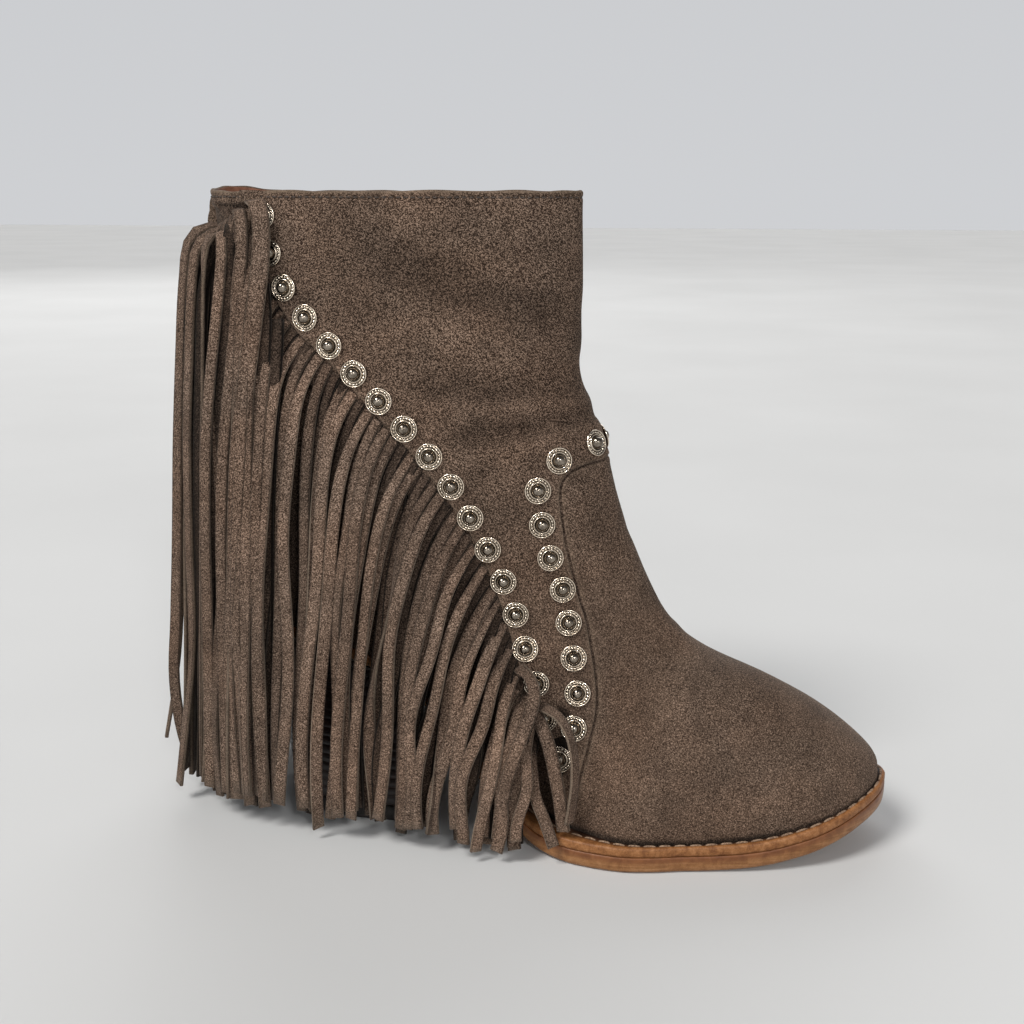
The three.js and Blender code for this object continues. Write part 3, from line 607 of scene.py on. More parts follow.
M_SUEDE = suede("suede", (.0838, .0561, .0398), (.18, .130, .092))
M_FRINGE = suede("fringe_suede", (.102, .0695, .0505), (.235, .178, .130), grain=1.05)
M_LINING = leather("lining_leather", (.10, .035, .018), (.19, .075, .04), (.27, .12, .07), (.42, .6), .7)
M_INSOLE = leather("insole_leather", (.20, .10, .055), (.30, .165, .095), (.38, .225, .14), (.4, .58), .6)
M_WELT = leather("welt_leather", (.12, .040, .011), (.225, .090, .027), (.34, .155, .060), (.46, .64), 2.2, .04, band=((.030, .012, .006), (.055, .022, .010)))
M_SOLE = leather("sole_edge_leather", (.14, .052, .016), (.235, .105, .036), (.33, .165, .070), (.34, .52), 2.0, .12,
                 fibres=(55, 55, 1500), band=((.12, .040, .012), (.20, .075, .025)))
M_HEEL = leather("stacked_heel", (.010, .006, .005), (.022, .012, .009), (.045, .022, .015), (.3, .46), 1.0, .25,
                 fibres=(70, 70, 1300))
M_LIFT = leather("lift_rubber", (.010, .009, .008), (.017, .015, .013), (.03, .026, .023), (.62, .8), 1.4)
M_THREAD_DARK = thread("thread_brown", (.022, .015, .011), (.07, .05, .038))
M_THREAD_PALE = thread("thread_pale", (.10, .055, .03), (.32, .21, .135))
M_METAL = metal("antique_metal")

# ------------------------------------------------------------------ upper shell
AROUND = 212


def row_places(count):
    """Places down the boot with about even steps on the skin."""
    s = np.linspace(0, LAST, 1600)
    q = section(s)
    step = np.hypot(np.diff(q[:, RX]), np.diff(q[:, RZ])) * .5 + np.hypot(np.diff(q[:, BX]), np.diff(q[:, BZ])) * .5
    run = np.r_[0, np.cumsum(step)]
    return np.interp(np.linspace(run[0], run[-1], count), run, s)


TURNS = np.arange(AROUND) * 2 * np.pi / AROUND
LIP = WALL / 2
S_TOP = float(np.interp(COLLAR_HEIGHT - LIP, section(S_FINE)[:60, RZ][::-1], S_FINE[:60][::-1]))
fine_top = S_TOP + np.array([0, .35, .7, 1.0, 1.3, 1.6, 2.0, 2.6, 3.4, 4.4]) / 25.0
rest = row_places(196)
OUTER_S = np.r_[fine_top, rest[rest > fine_top[-1] + .04]]


def shell_points():
    s, turn = np.meshgrid(OUTER_S, TURNS, indexing="ij")
    p = skin(s, turn).reshape(-1, 3)
    n = outward(s, turn).reshape(-1, 3)
    lift = folds_at(p)
    uneven = waves_at(p, 26.0, 3.0) * .35 + waves_at(p, 11.0, 9.0) * .10
    toe = smoothstep(20.6, 19.0, s.reshape(-1))
    groove = -.28 * np.exp(-((p[:, 2] - (COLLAR_HEIGHT - 2.5)) / .55) ** 2)
    total = lift + uneven * toe * smoothstep(COLLAR_HEIGHT, COLLAR_HEIGHT - 6, p[:, 2]) + seams_at(p) + groove
    low = smoothstep(0, 7, p[:, 2] - bed(p[:, 0]))
    total = np.where(s.reshape(-1) > 8, total * low, total)
    p = p + n * total[:, None]
    # the collar stands a little higher at the back seam
    t_all = turn.reshape(-1)
    p[:, 2] += back_rise(t_all) * smoothstep(COLLAR_HEIGHT - 9, COLLAR_HEIGHT - 1, p[:, 2])
    to_vamp, _ = line_distance(p[:, [0, 2]], VAMP_LINE)
    to_fringe, _ = line_distance(p[:, [0, 2]], SEAM_LINE)
    # painted shading: fold troughs darker and fold ridges lighter, painted shade along the vamp seam and behind the
    # fringe seam
    tone = np.clip(lift * .20, -.34, .16) - .60 * np.exp(-(to_vamp / 1.1) ** 2) - .45 * smoothstep(0, 1.2, -to_fringe)
    # painted shade in the hollow under the last strands, outer side
    hollow = np.hypot((p[:, 0] - 127.5 + (p[:, 2] - 36) * .10) / 6.2, (p[:, 2] - 37) / 15.5)
    tone -= np.where(p[:, 1] < 0, .9 * smoothstep(1.05, .82, hollow), 0)
    # painted shade on the suede just above the welt
    tone -= np.where(p[:, 0] > 104, .62 * smoothstep(2.0, .4, p[:, 2] - welt_top(p[:, 0])), 0)
    return p, tone


def back_rise(turn):
    return 1.9 * np.exp(-((turn - (np.pi + .28)) / .42) ** 2)


outer, outer_painted_shading = shell_points()
rim = []
rim_top = skin(np.full(AROUND, S_TOP), TURNS)
rim_in = skin(np.full(AROUND, S_TOP), TURNS, WALL)
for a in np.linspace(0, np.pi, 8)[1:]:
    p = (rim_top + rim_in) / 2 + (rim_top - rim_in) / 2 * np.cos(a)
    p[:, 2] = rim_top[:, 2] + LIP * np.sin(a)
    rim.append(p)
edge_wave = .22 * np.sin(TURNS * 7 + .6) + .16 * np.sin(TURNS * 17 + 2) - .25
for k, p in enumerate(rim):
    p[:, 2] += back_rise(TURNS)
    p[:, 2] += edge_wave * np.sin(np.linspace(0, np.pi, 8)[1:][k])
inner_s = np.interp(np.linspace(0, 1, 62), np.linspace(0, 1, len(OUTER_S)), OUTER_S)[1:]
inner_s = inner_s[inner_s < 20.0]
si, ti = np.meshgrid(inner_s, TURNS, indexing="ij")
base = skin(si, ti).reshape(-1, 3)
# the lining stands a little further in along the shaft, over the roots of the fringe
pad = 1.6 * smoothstep(COLLAR_HEIGHT - 1, COLLAR_HEIGHT - 7, base[:, 2]) * smoothstep(80, 100, base[:, 2])
inside = skin(si, ti, WALL).reshape(-1, 3) + outward(si, ti).reshape(-1, 3) * (folds_at(base) - pad)[:, None]
inside[:, 2] += back_rise(ti.reshape(-1)) * smoothstep(COLLAR_HEIGHT - 9, COLLAR_HEIGHT - 1, inside[:, 2])

bm = bmesh.new()
shading_layer = bm.verts.layers.float.new("tone")
edge_layer = bm.verts.layers.float.new("edge")


def add_row(points, tones, edges):
    row = []
    for p, t, e in zip(points, tones, edges):
        v = bm.verts.new(p)
        v[shading_layer], v[edge_layer] = t, e
        row.append(v)
    return row


rows = []
zeros = np.zeros(AROUND)
n_in = len(inner_s)
for r in range(n_in - 1, -1, -1):
    rows.append((add_row(inside[r * AROUND:(r + 1) * AROUND], zeros, zeros), 1))
for k in range(len(rim) - 1, -1, -1):
    rows.append((add_row(rim[k], zeros, zeros + (1.0 if k < 5 else .4)), 1 if k >= 5 else 0))
for r in range(len(OUTER_S)):
    part = slice(r * AROUND, (r + 1) * AROUND)
    z = outer[part][:, 2]
    pale = np.exp(-((z - COLLAR_HEIGHT) / 1.1) ** 2) * .9
    rows.append((add_row(outer[part], outer_painted_shading[part], pale), 0))
for (row_a, _), (row_b, mat) in zip(rows[:-1], rows[1:]):
    for k in range(AROUND):
        f = bm.faces.new((row_a[k], row_b[k], row_b[(k + 1) % AROUND], row_a[(k + 1) % AROUND]))
        f.material_index = mat
        f.smooth = True
for row, mat in (rows[0], rows[-1]):
    hub = bm.verts.new(np.mean([v.co for v in row], axis=0))
    for k in range(AROUND):
        f = bm.faces.new((row[k], row[(k + 1) % AROUND], hub))
        f.material_index, f.smooth = mat, True

# The shell ends on the bed of the sole.
bm.verts.ensure_lookup_table()
co = np.array([v.co for v in bm.verts])
height = co[:, 2] - (bed(co[:, 0]) + GAP)
bm.verts.index_update()
cut = []
for e in list(bm.edges):
    a, b = e.verts
    fa, fb = height[a.index], height[b.index]
    if fa * fb < 0:
        cut.append((e, a, fa / (fa - fb)))
on_bed = []
for e, a, t in cut:
    _, v = bmesh.utils.edge_split(e, a, t)
    on_bed.append(v)
bmesh.ops.connect_verts(bm, verts=on_bed)
below = [v for v in bm.verts if v not in set(on_bed) and v.co.z < float(bed(v.co.x)) + GAP - 1e-6]
bmesh.ops.delete(bm, geom=below, context="VERTS")
loose = [e for e in bm.edges if e.is_boundary]
bmesh.ops.bridge_loops(bm, edges=loose)
for f in bm.faces:
    f.smooth = True
bmesh.ops.recalc_face_normals(bm, faces=bm.faces)
SKIN_TREE = BVHTree.FromBMesh(bm)
for v in bm.verts:
    v.co = to_world(v.co)
mesh = bpy.data.meshes.new("upper_suede")
bm.to_mesh(mesh)
bm.free()
mesh.materials.append(M_SUEDE)
mesh.materials.append(M_LINING)
place(bpy.data.objects.new("upper_suede", mesh), ["upper"])


def on_skin(x, z, side, height=0.0):
    """Point on the finished shell seen at x, z from the side, its outward direction."""
    s, turn = seen_at(x, z, side)
    return on_shell(s, turn, height)


def on_shell(s, turn, height=0.0):
    p, n = skin(s, turn), outward(s, turn)
    hit = SKIN_TREE.ray_cast(Vector(p + n * 6), Vector(-n), 14)
    if hit[0] is not None:
        p = np.array(hit[0])
    return p + n * height, n


# ------------------------------------------------------------------ panel edges and seams
def edge_strip(builder, line, side, profile):
    """A thin panel edge: profile lists (distance to the line's left, height, paleness, painted shade)."""
    t = np.gradient(line, axis=0)
    t /= np.linalg.norm(t, axis=1, keepdims=True)
    left = np.stack([-t[:, 1], t[:, 0]], 1)
    pts, pale, shade = [], [], []
    for p, l in zip(line, left):
        for d, h, e, sh in profile:
            q, _ = on_skin(p[0] + l[0] * d, p[1] + l[1] * d, side, h)
            pts.append(q)
            pale.append(e)
            shade.append(sh)
    pts = np.array(pts).reshape(len(line), len(profile), 3)
    for _ in range(2):
        pts[1:-1] = pts[1:-1] * .5 + (pts[:-2] + pts[2:]) * .25
    faces = grid_faces(len(line), len(profile), False)
    if side > 0:
        faces = [f[::-1] for f in faces]
    builder.add(pts.reshape(-1, 3), faces, 0, edge=np.array(pale), tone=np.array(shade))
    return pts


shaft_edges = Builder()
vamp_edges = Builder()
FRINGE_EDGE_LINE = smooth_line(FRINGE_SEAM, 1.1)
VAMP_EDGE_LINE = smooth_line(VAMP_SEAM, 1.1)
for side in (-1, 1):
    # the last number of each profile row is painted shade, darkest in the groove at the panel edge
    edge_strip(shaft_edges, FRINGE_EDGE_LINE, side, [
        (0, -1.5, 0, -.6), (0, .05, .2, -.3), (.10, .42, .7, 0), (.40, .60, .6, 0), (1.1, .60, .15, 0), (3.0, .42, 0, 0), (6, .16, 0, 0), (8.5, -.12, 0, 0)])
    # harness panel lies over the vamp: its edge faces the toe
    edge_strip(vamp_edges, VAMP_EDGE_LINE[::-1], side, [
        (.26, -.9, 0, -.75), (.26, .10, .1, -.5), (.36, .48, .6, 0), (.65, .74, .5, 0), (1.5, .72, .15, 0), (3.2, .46, 0, 0), (5.2, .15, 0, 0), (7, -.15, 0, 0)])
    edge_strip(vamp_edges, VAMP_EDGE_LINE, side, [
        (.42, -.9, 0, -.75), (.46, -.05, .1, -.4), (.62, .24, .45, 0), (1.1, .38, .3, 0), (2.3, .30, .05, 0), (4.0, .10, 0, 0), (5.6, -.15, 0, 0)])
shaft_edges.object("shaft_panel_edge", [M_SUEDE], "suede")
vamp_edges.object("vamp_overlay_edge", [M_SUEDE], "suede")

# Back strap: a narrow strip up the back with a stitched line each side.
strap = Builder()
strap_s = np.linspace(S_TOP + .04, 9.6, 130)
pts, pale = [], []
for s in strap_s:
    for d, h, e in [(-3.4, -.4, .1), (-3.3, .3, .5), (-2.9, .52, .3), (-1.6, .5, 0), (-.5, .34, 0), (0, .05, 0),
                    (.5, .34, 0), (1.6, .5, 0), (2.9, .52, .3), (3.3, .3, .5), (3.4, -.4, .1)]:
        q = section(s)
        half = (q[LAT] + q[MED]) / 2
        turn = math.pi + math.copysign(abs(d / half) ** (q[BPW] / 2), d)
        p, n = on_shell(s, turn, 0)
        stand = 3.6 * smoothstep(231.5, 221, p[2]) * smoothstep(196, 214, p[2])
        pts.append(p + n * (h + (stand if h > 0 else 0)))
        pale.append(e)
strap.add(pts, grid_faces(len(strap_s), 11, False), 0, edge=np.array(pale), tone=0.0)
strap.object("back_strap", [M_SUEDE], "suede")

# Stitches: collar and back strap.
stitches = Builder()


def stitch(builder, a, b, n, radius, lift=.18):
    ts = np.linspace(0, 1, 6)
    path = a[None] + (b - a)[None] * ts[:, None] + n[None] * (lift * np.sin(ts * np.pi))[:, None]
    radii = radius * np.array([.45, .9, 1, 1, .9, .45])
    p, f = tube(path, radii, 6, .8, up=n)
    builder.add(p, f, 0)


def stitch_run(builder, places, radius, gap=.28, lift=.18):
    """Stitches between successive (point, outward) places."""
    for (p, n), (q, m) in zip(places[:-1], places[1:]):
        d = q - p
        stitch(builder, p + d * gap * .5, q - d * gap * .5, (n + m) / np.linalg.norm(n + m), radius, lift)


z_row = COLLAR_HEIGHT - 2.5
s_row = float(np.interp(z_row, section(S_FINE)[:60, RZ][::-1], S_FINE[:60][::-1]))
ring = skin(np.full(1440, s_row), np.linspace(0, 2 * np.pi, 1440))
run = np.r_[0, np.cumsum(np.linalg.norm(np.diff(ring, axis=0), axis=1))]
turns = np.interp(np.arange(0, run[-1], 2.5), run, np.linspace(0, 2 * np.pi, 1440))
stitch_run(stitches, [on_shell(s_row, t, .05) for t in turns], .30)
for d in (-2.3, 2.3):
    places = []
    for s in np.arange(S_TOP + .12, 3.2, .1):
        q = section(s)
        half = (q[LAT] + q[MED]) / 2
        turn = math.pi + math.copysign(abs(d / half) ** (q[BPW] / 2), d)
        places.append(on_shell(s, turn, .50))
    stitch_run(stitches, places, .28)
stitches.object("collar_and_strap_stitches", [M_THREAD_DARK], "suede")

# ------------------------------------------------------------------ studs
STUD_RINGS = [  # radius share, height share, dark patina in the grooves and painted dark reflection on the dome, bead share
    (1.000, 0.000, .6, 0), (1.000, .090, .35, 0), (.985, .180, 0, 0), (.945, .230, 0, 0), (.910, .185, .35, 0), (.893, .060, 1, 0),
    (.855, .050, 1, .3), (.835, .070, .95, 1), (.790, .085, .9, 1), (.745, .075, .9, 1), (.720, .055, 1, .3), (.690, .050, 1, 0),
    (.665, .055, 1, 0), (.645, .190, .25, 0), (.610, .250, 0, 0), (.575, .205, .25, 0), (.555, .070, 1, 0), (.510, .065, 1, 0),
    (.490, .220, .95, 0), (.465, .370, .90, 0), (.430, .530, .89, 0), (.355, .740, .87, 0), (.250, .900, .85, 0), (.120, .980, .82, 0)]
BEADS, PER_BEAD = 20, 4


def stud_mesh():
    n = BEADS * PER_BEAD
    ang = np.arange(n) * 2 * np.pi / n
    wave = np.array([0, 1, 1, .35] * BEADS)[:n]
    pts, pit = [], []
    for r, h, p, b in STUD_RINGS:
        pts.append(np.stack([np.cos(ang) * r * STUD_RADIUS, np.sin(ang) * r * STUD_RADIUS,
                             (h + b * .13 * wave) * STUD_HEIGHT], 1))
        pit.append(np.clip(p - b * wave * .95, 0, 1) if b else np.full(n, p))
    rows_n = len(STUD_RINGS)
    faces = grid_faces(rows_n, n, True)
    pts = np.concatenate(pts)
    pit = np.concatenate(pit)
    pts = np.vstack([pts, [(0, 0, STUD_HEIGHT)]])
    pit = np.r_[pit, .82]
    hub = len(pts) - 1
    faces += [((rows_n - 1) * n + k, (rows_n - 1) * n + (k + 1) % n, hub) for k in range(n)]
    faces.append(tuple(range(n))[::-1])
    return pts, faces, pit


STUD_P, STUD_F, STUD_PATINA_AND_DOME_REFLECTION = stud_mesh()
rng = np.random.default_rng(11)
for row_name, count, side in (("diagonal_lateral", 17, -1), ("harness_lateral", 11, -1), ("diagonal_medial", 15, 1), ("harness_medial", 9, 1)):
    studs, names = Builder(), []
    for i in range(count):
        node = f"stud_{row_name}_{i + 1:02d}"
        names.append(node)
        co = np.array([v.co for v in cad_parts[node].data.vertices])
        co = (co - np.array([OFF_X, OFF_Y, 0])) / MM
        co = np.unique(np.round(co, 3), axis=0)
        mid = (co.max(0) + co.min(0)) / 2
        s, turn = seen_at(mid[0], mid[2], side)
        n = outward(s, turn)
        _, _, vt = np.linalg.svd(co - co.mean(0))
        axis = vt[2] * np.sign(vt[2] @ n)
        along = co @ axis
        rim_pts = co[along < along.min() + .3 * STUD_HEIGHT]
        centre = rim_pts.mean(0)
        centre = centre + axis * (along.min() - centre @ axis)
        a = np.cross(axis, (0, 0, 1.0))
        a /= np.linalg.norm(a)
        b = np.cross(axis, a)
        turn0 = rng.uniform(0, 2 * math.pi)
        c0, s0 = math.cos(turn0), math.sin(turn0)
        x, y = STUD_P[:, 0] * c0 - STUD_P[:, 1] * s0, STUD_P[:, 0] * s0 + STUD_P[:, 1] * c0
        x, y = x * .935, y * .935
        p = centre + x[:, None] * a + y[:, None] * b + STUD_P[:, 2:3] * axis
        face_dir = np.dot(np.cross(a, b), axis)
        studs.add(p, STUD_F if face_dir > 0 else [f[::-1] for f in STUD_F], 0, pit=STUD_PATINA_AND_DOME_REFLECTION)
    studs.object("studs_" + row_name, [M_METAL], "stud_metal", names)


# ------------------------------------------------------------------ sole
def edge_points(side, count=230):
    """The sole's edge from the middle of the heel to the tip of the toe, and its inward direction."""
    rows_ = [(-.02, 0)] + [(x, side * (la if side < 0 else me)) for x, la, me in OUTLINE] + [(242.04, 3.2)]
    line = smooth_line(rows_, .6)
    run_ = np.r_[0, np.cumsum(np.hypot(*np.diff(line, axis=0).T))]
    at_ = np.linspace(0, run_[-1], count)
    p = np.stack([np.interp(at_, run_, line[:, k]) for k in range(2)], 1)
    t = np.gradient(p, axis=0)
    t[0], t[-1] = (0, side), (0, -side)
    for _ in range(2):
        t[1:-1] = t[1:-1] * .5 + (t[:-2] + t[2:]) * .25
    t /= np.maximum(np.linalg.norm(t, axis=1, keepdims=True), 1e-9)
    return p, np.stack([t[:, 1], -t[:, 0]], 1) * side


SOLE_EDGE = [  # inset, height share, band of darker finish
    (2.2, .0, 0), (1.1, .03, .0), (.45, .10, .0), (.12, .22, 0), (.0, .40, .0), (.0, .55, .15), (.0, .70, .7),
    (.0, .82, 1), (.03, .90, 1), (.10, .965, 1), (.28, 1.0, 1)]


edges = {side: edge_points(side) for side in (-1, 1)}


def profile_ring(i):
    ring_, band_ = [], []
    half = np.linalg.norm(edges[-1][0][i] - edges[1][0][i]) / 2
    for side, order in ((-1, SOLE_EDGE), (1, SOLE_EDGE[::-1])):
        p, n = edges[side]
        for inset, h, b in order:
            x, y = p[i] + n[i] * min(inset, max(half * .9, inset * .8))
            ring_.append((x, y, float(under(x)) + h * float(bed(x) - under(x))))
            band_.append(b)
    return ring_, band_


sole = Builder()
rings = [profile_ring(i) for i in range(len(edges[1][0]))]
n_ring = len(rings[0][0])
pts = np.array([r[0] for r in rings]).reshape(-1, 3)
band = np.array([r[1] for r in rings]).reshape(-1)
faces = grid_faces(len(rings), n_ring, True)
faces.append(tuple(range(n_ring)))
faces.append(tuple((len(rings) - 1) * n_ring + k for k in range(n_ring))[::-1])
sole.add(pts, [f[::-1] for f in faces], 0, band=band)
sole.object("outsole_leather", [M_SOLE], "sole_edge", ["outsole"])

# Welt: a ring round the forefoot, its ledge sloping up to the upper.
path = []
for side in (-1, 1):
    p, n = edges[side]
    fore = [i for i in range(len(p)) if p[i][0] >= 100]
    for i in (fore if side < 0 else fore[::-1]):
        path.append((p[i][0], p[i][1], n[i][0], n[i][1]))
path = np.array(path)
keep = [0]
for i in range(1, len(path)):
    if np.hypot(*(path[i, :2] - path[keep[-1], :2])) > .5:
        keep.append(i)
path = path[keep]
run = np.r_[0, np.cumsum(np.hypot(*np.diff(path[:, :2], axis=0).T))]
m = int(run[-1] / 1.1)
even = np.stack([np.interp(np.linspace(0, run[-1], m), run, path[:, k]) for k in range(4)], 1)
for _ in range(6):
    even[1:-1, 2:] = even[1:-1, 2:] * .5 + (even[:-2, 2:] + even[2:, 2:]) * .25
even[:, 2:] /= np.linalg.norm(even[:, 2:], axis=1, keepdims=True)


def welt_reach(x, y, nx, ny, z):
    """How far inwards from the sole's edge the upper stands at height z."""
    hit = SKIN_TREE.ray_cast(Vector((x - nx * 3, y - ny * 3, z)), Vector((nx, ny, 0)), 40)
    return (hit[3] - 3) if hit[0] is not None else None


reach = []
for x, y, nx, ny in even:
    z = float(welt_top(x)) + .5
    r = welt_reach(x, y, nx, ny, z)
    reach.append(np.nan if r is None else r)
reach = np.array(reach)
ok = ~np.isnan(reach)
reach = np.interp(np.arange(len(reach)), np.nonzero(ok)[0], reach[ok])
reach = np.clip(reach, 1.2, 9)
for _ in range(4):
    reach[1:-1] = reach[1:-1] * .5 + (reach[:-2] + reach[2:]) * .25
welt = Builder()
pts, nring, ledge, seam_dark = [], 0, [], []
for (x, y, nx, ny), r in zip(even, reach):
    low, top = float(bed(x)) + GAP, float(welt_top(x))
    tall = top - low
    prof = [(.20, low, 0), (.04, low + .18 * tall, 0), (.0, low + .5 * tall, 0), (.06, low + .78 * tall, 0), (.30, low + .93 * tall, 0),
            (.8, top + .04, 0), (max(r * .30, 1.0), top + .06, 0), (r * .42, top - .04, .15), (r * .50, top - .20, .6), (r * .62, top - .24, .8), (r * .70, top - .34, 1),
            (r * .88, top - .62, 1), (r + .1, top - .8, 1), (r + .6, low, 1)]
    for inset, z, dark in prof:
        pts.append((x + nx * inset, y + ny * inset, z))
        seam_dark.append(dark)
    ledge.append((x + nx * r * .57, y + ny * r * .57, top - .16))
    nring = len(prof)
faces = grid_faces(len(even), nring, True)
faces.append(tuple(range(nring)))
faces.append(tuple((len(even) - 1) * nring + k for k in range(nring))[::-1])
welt.add(pts, [f[::-1] for f in faces], 0, band=np.array(seam_dark))
welt.object("welt_strip", [M_WELT], "welt_leather", ["welt"])

# Welt stitches: pale thread, sunk ends.
ledge = np.array(ledge)
run = np.r_[0, np.cumsum(np.linalg.norm(np.diff(ledge, axis=0), axis=1))]
at = np.arange(4, run[-1] - 4, 5.4)
welt_stitches = Builder()
for a0 in at:
    ts = np.linspace(a0 + .3, a0 + 5.1, 9)
    path = np.stack([np.interp(ts, run, ledge[:, k]) for k in range(3)], 1)
    path[:, 2] += np.array([-.40, -.02, .14, .18, .19, .18, .14, -.02, -.40])
    p, f = tube(path, np.array([.24, .38, .44, .46, .46, .46, .44, .38, .24]), 8, .7)
    welt_stitches.add(p, f, 0)
welt_stitches.object("welt_stitches", [M_THREAD_PALE], "welt_leather")


def heel_ring(level, inset=0.0):
    back, breast, half = (float(column(HEEL_ROWS, k, level)) for k in (1, 2, 3))
    back, breast, half = back + inset, breast - inset, half - inset
    round_ = (breast - back) * .62
    arc = [(back + round_ - round_ * math.cos(a), half * math.sin(a)) for a in np.linspace(-np.pi / 2, np.pi / 2, 61)]
    flat = smooth_line([(back + (breast - back) * f, half * w) for f, w in
                        ((.70, .997), (.90, .985), (.962, .955), (.985, .88), (.978, .5), (.972, 0), (.978, -.5), (.985, -.88), (.962, -.955), (.90, -.985), (.70, -.997))], 2.2)
    return [p for p in arc] + [tuple(p) for p in flat[1:-1]]


def stack(name, levels, material, slot, replaces, top=None, groove=0.0, layer=3.4):
    """A block lofted through heel rings; levels are (z, extra inset)."""
    b = Builder()
    rings_ = []
    for z, inset in levels:
        ring_ = heel_ring(z / HEEL_HEIGHT, inset)
        rings_.append([(x, y, min(z, float(under(x)) - GAP)) if top else (x, y, z) for x, y in ring_])
    n = min(len(r) for r in rings_)
    rings_ = [r[:n] for r in rings_]
    pts_ = np.array(rings_).reshape(-1, 3)
    faces_ = grid_faces(len(rings_), n, True)
    hubs = []
    for r in (rings_[0], rings_[-1]):
        hubs.append(np.mean(np.array(r), axis=0))
    base = len(pts_)
    pts_ = np.vstack([pts_, hubs])
    for k in range(n):
        faces_.append((k, base, (k + 1) % n))
        last = (len(rings_) - 1) * n
        faces_.append((last + k, last + (k + 1) % n, base + 1))
    b.add(pts_, [f[::-1] for f in faces_], 0)
    return b.object(name, [material], slot, replaces)


levels = [(LIFT_THICKNESS + GAP, .5), (LIFT_THICKNESS + GAP + .25, .12)]
z = LIFT_THICKNESS + GAP + .6
while z < 74:
    levels += [(z, 0), (z + 1.4, .03), (z + 2.85, .02), (z + 3.15, .16), (z + 3.35, .16)]
    z += 3.6
stack("heel_stack", levels, M_HEEL, "heel_stack", ["heel"], top=True)
stack("heel_top_lift", [(0, 1.0), (.18, .45), (.6, .12), (1.2, 0), (3.4, 0), (4.9, 0), (5.35, .12), (5.6, .5)], M_LIFT, "lift_rubber", ["top_lift"])

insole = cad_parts["insole"]
insole.data.materials.clear()
insole.data.materials.append(M_INSOLE)

# ------------------------------------------------------------------ fringe
FRINGE_STEPS = 36
ROOT_LINE = smooth_line(FRINGE_SEAM, 1.0)


def seam_places(side):
    """Points of the fringe seam with outward directions: round the back, then down the side."""
    places = []
    for turn, s in zip(np.linspace(np.pi, np.pi * .80, 10), np.linspace(.84, .40, 10)):
        places.append(on_shell(s, turn if side < 0 else 2 * np.pi - turn))
    t = np.gradient(ROOT_LINE, axis=0)
    t /= np.linalg.norm(t, axis=1, keepdims=True)
    for (x, z), (dx, dz) in list(zip(ROOT_LINE, t))[4:]:
        places.append(on_skin(x + dz * .9, z - dx * .9, side))
    p = np.array([a for a, _ in places])
    n = np.array([b for _, b in places])
    for _ in range(6):
        p[1:-1] = p[1:-1] * .5 + (p[:-2] + p[2:]) * .25
        n[1:-1] = n[1:-1] * .5 + (n[:-2] + n[2:]) * .25
    n /= np.linalg.norm(n, axis=1, keepdims=True)
    run_ = np.r_[0, np.cumsum(np.linalg.norm(np.diff(p, axis=0), axis=1))]
    return p, n, run_


def drape(along, col):
    return float(column(DRAPE, col, along))


def strand_path(side, seam, along, depth, end_shift=(0, 0), end_z=8.0, wander=(0, 0, 0, 0)):
    p, n, run_ = seam
    at_ = along * run_[-1]
    root = np.array([np.interp(at_, run_, p[:, k]) for k in range(3)])
    out = np.array([np.interp(at_, run_, n[:, k]) for k in range(3)])
    out /= np.linalg.norm(out)
    end = np.array([drape(along, 1) + end_shift[0], side * (drape(along, 2) + end_shift[1]), end_z])
    h = .004
    a0, a1 = max(along - h, 0), min(along + h, 1)
    tang = np.array([drape(a1, 1) - drape(a0, 1), side * (drape(a1, 2) - drape(a0, 2)), 0])
    flat = np.array([tang[1], -tang[0], 0]) * 1.0
    flat /= max(np.linalg.norm(flat), 1e-9)
    if flat @ np.array([0, side, 0]) < 0 and abs(flat[1]) > .2:
        flat = -flat
    if along < .02:
        flat = np.array([-1, side * .12, 0]) / math.hypot(1, .12)
    spring, over, power = (drape(along, k) for k in (3, 4, 5))
    v = np.linspace(0, 1, FRINGE_STEPS) ** 1.28
    wx = spring * (1 - np.exp(-v / over)) / (1 - math.exp(-1 / over)) + (1 - spring) * (1 - (1 - v) ** power)
    wy = .36 * (1 - np.exp(-v / .07)) + .64 * (1 - (1 - v) ** 1.5)
    pos = np.stack([root[0] + (end[0] - root[0]) * wx, root[1] + (end[1] - root[1]) * wy, root[2] + (end[2] - root[2]) * v], 1)
    blend = smoothstep(0, .14, v)[:, None]
    nrm = out * (1 - blend) + flat * blend
    nrm /= np.linalg.norm(nrm, axis=1, keepdims=True)
    amp, freq, phase, amp2 = wander
    sway = smoothstep(.08, .5, v)
    across = np.cross(nrm, (0, 0, 1.0))
    pos += across * (sway * amp * np.sin(2 * np.pi * (freq * v + phase)))[:, None]
    pos += nrm * (sway * amp2 * np.sin(2 * np.pi * (freq * .8 * v + phase + .3)))[:, None]
    pos += nrm * (depth * smoothstep(0, .13, v) - .1 + .45 * smoothstep(.01, .05, v))[:, None]
    # keep clear of the shell and the studs behind it
    clear = .55 + max(depth, 0) * .85 * smoothstep(.02, .1, v) + 1.6 * smoothstep(.012, .09, v)
    for k in range(2, FRINGE_STEPS):
        near = SKIN_TREE.find_nearest(Vector(pos[k]), 25)
        if near[0] is None:
            continue
        gap_v = pos[k] - np.array(near[0])
        d = float(np.dot(gap_v, np.array(near[1])))
        if d < clear[k]:
            push = clear[k] - d
            pos[k] += nrm[k] * push
    soft = pos.copy()
    for _ in range(3):
        soft[2:-1] = soft[2:-1] * .5 + (soft[1:-2] + soft[3:]) * .25
    return soft, nrm, v


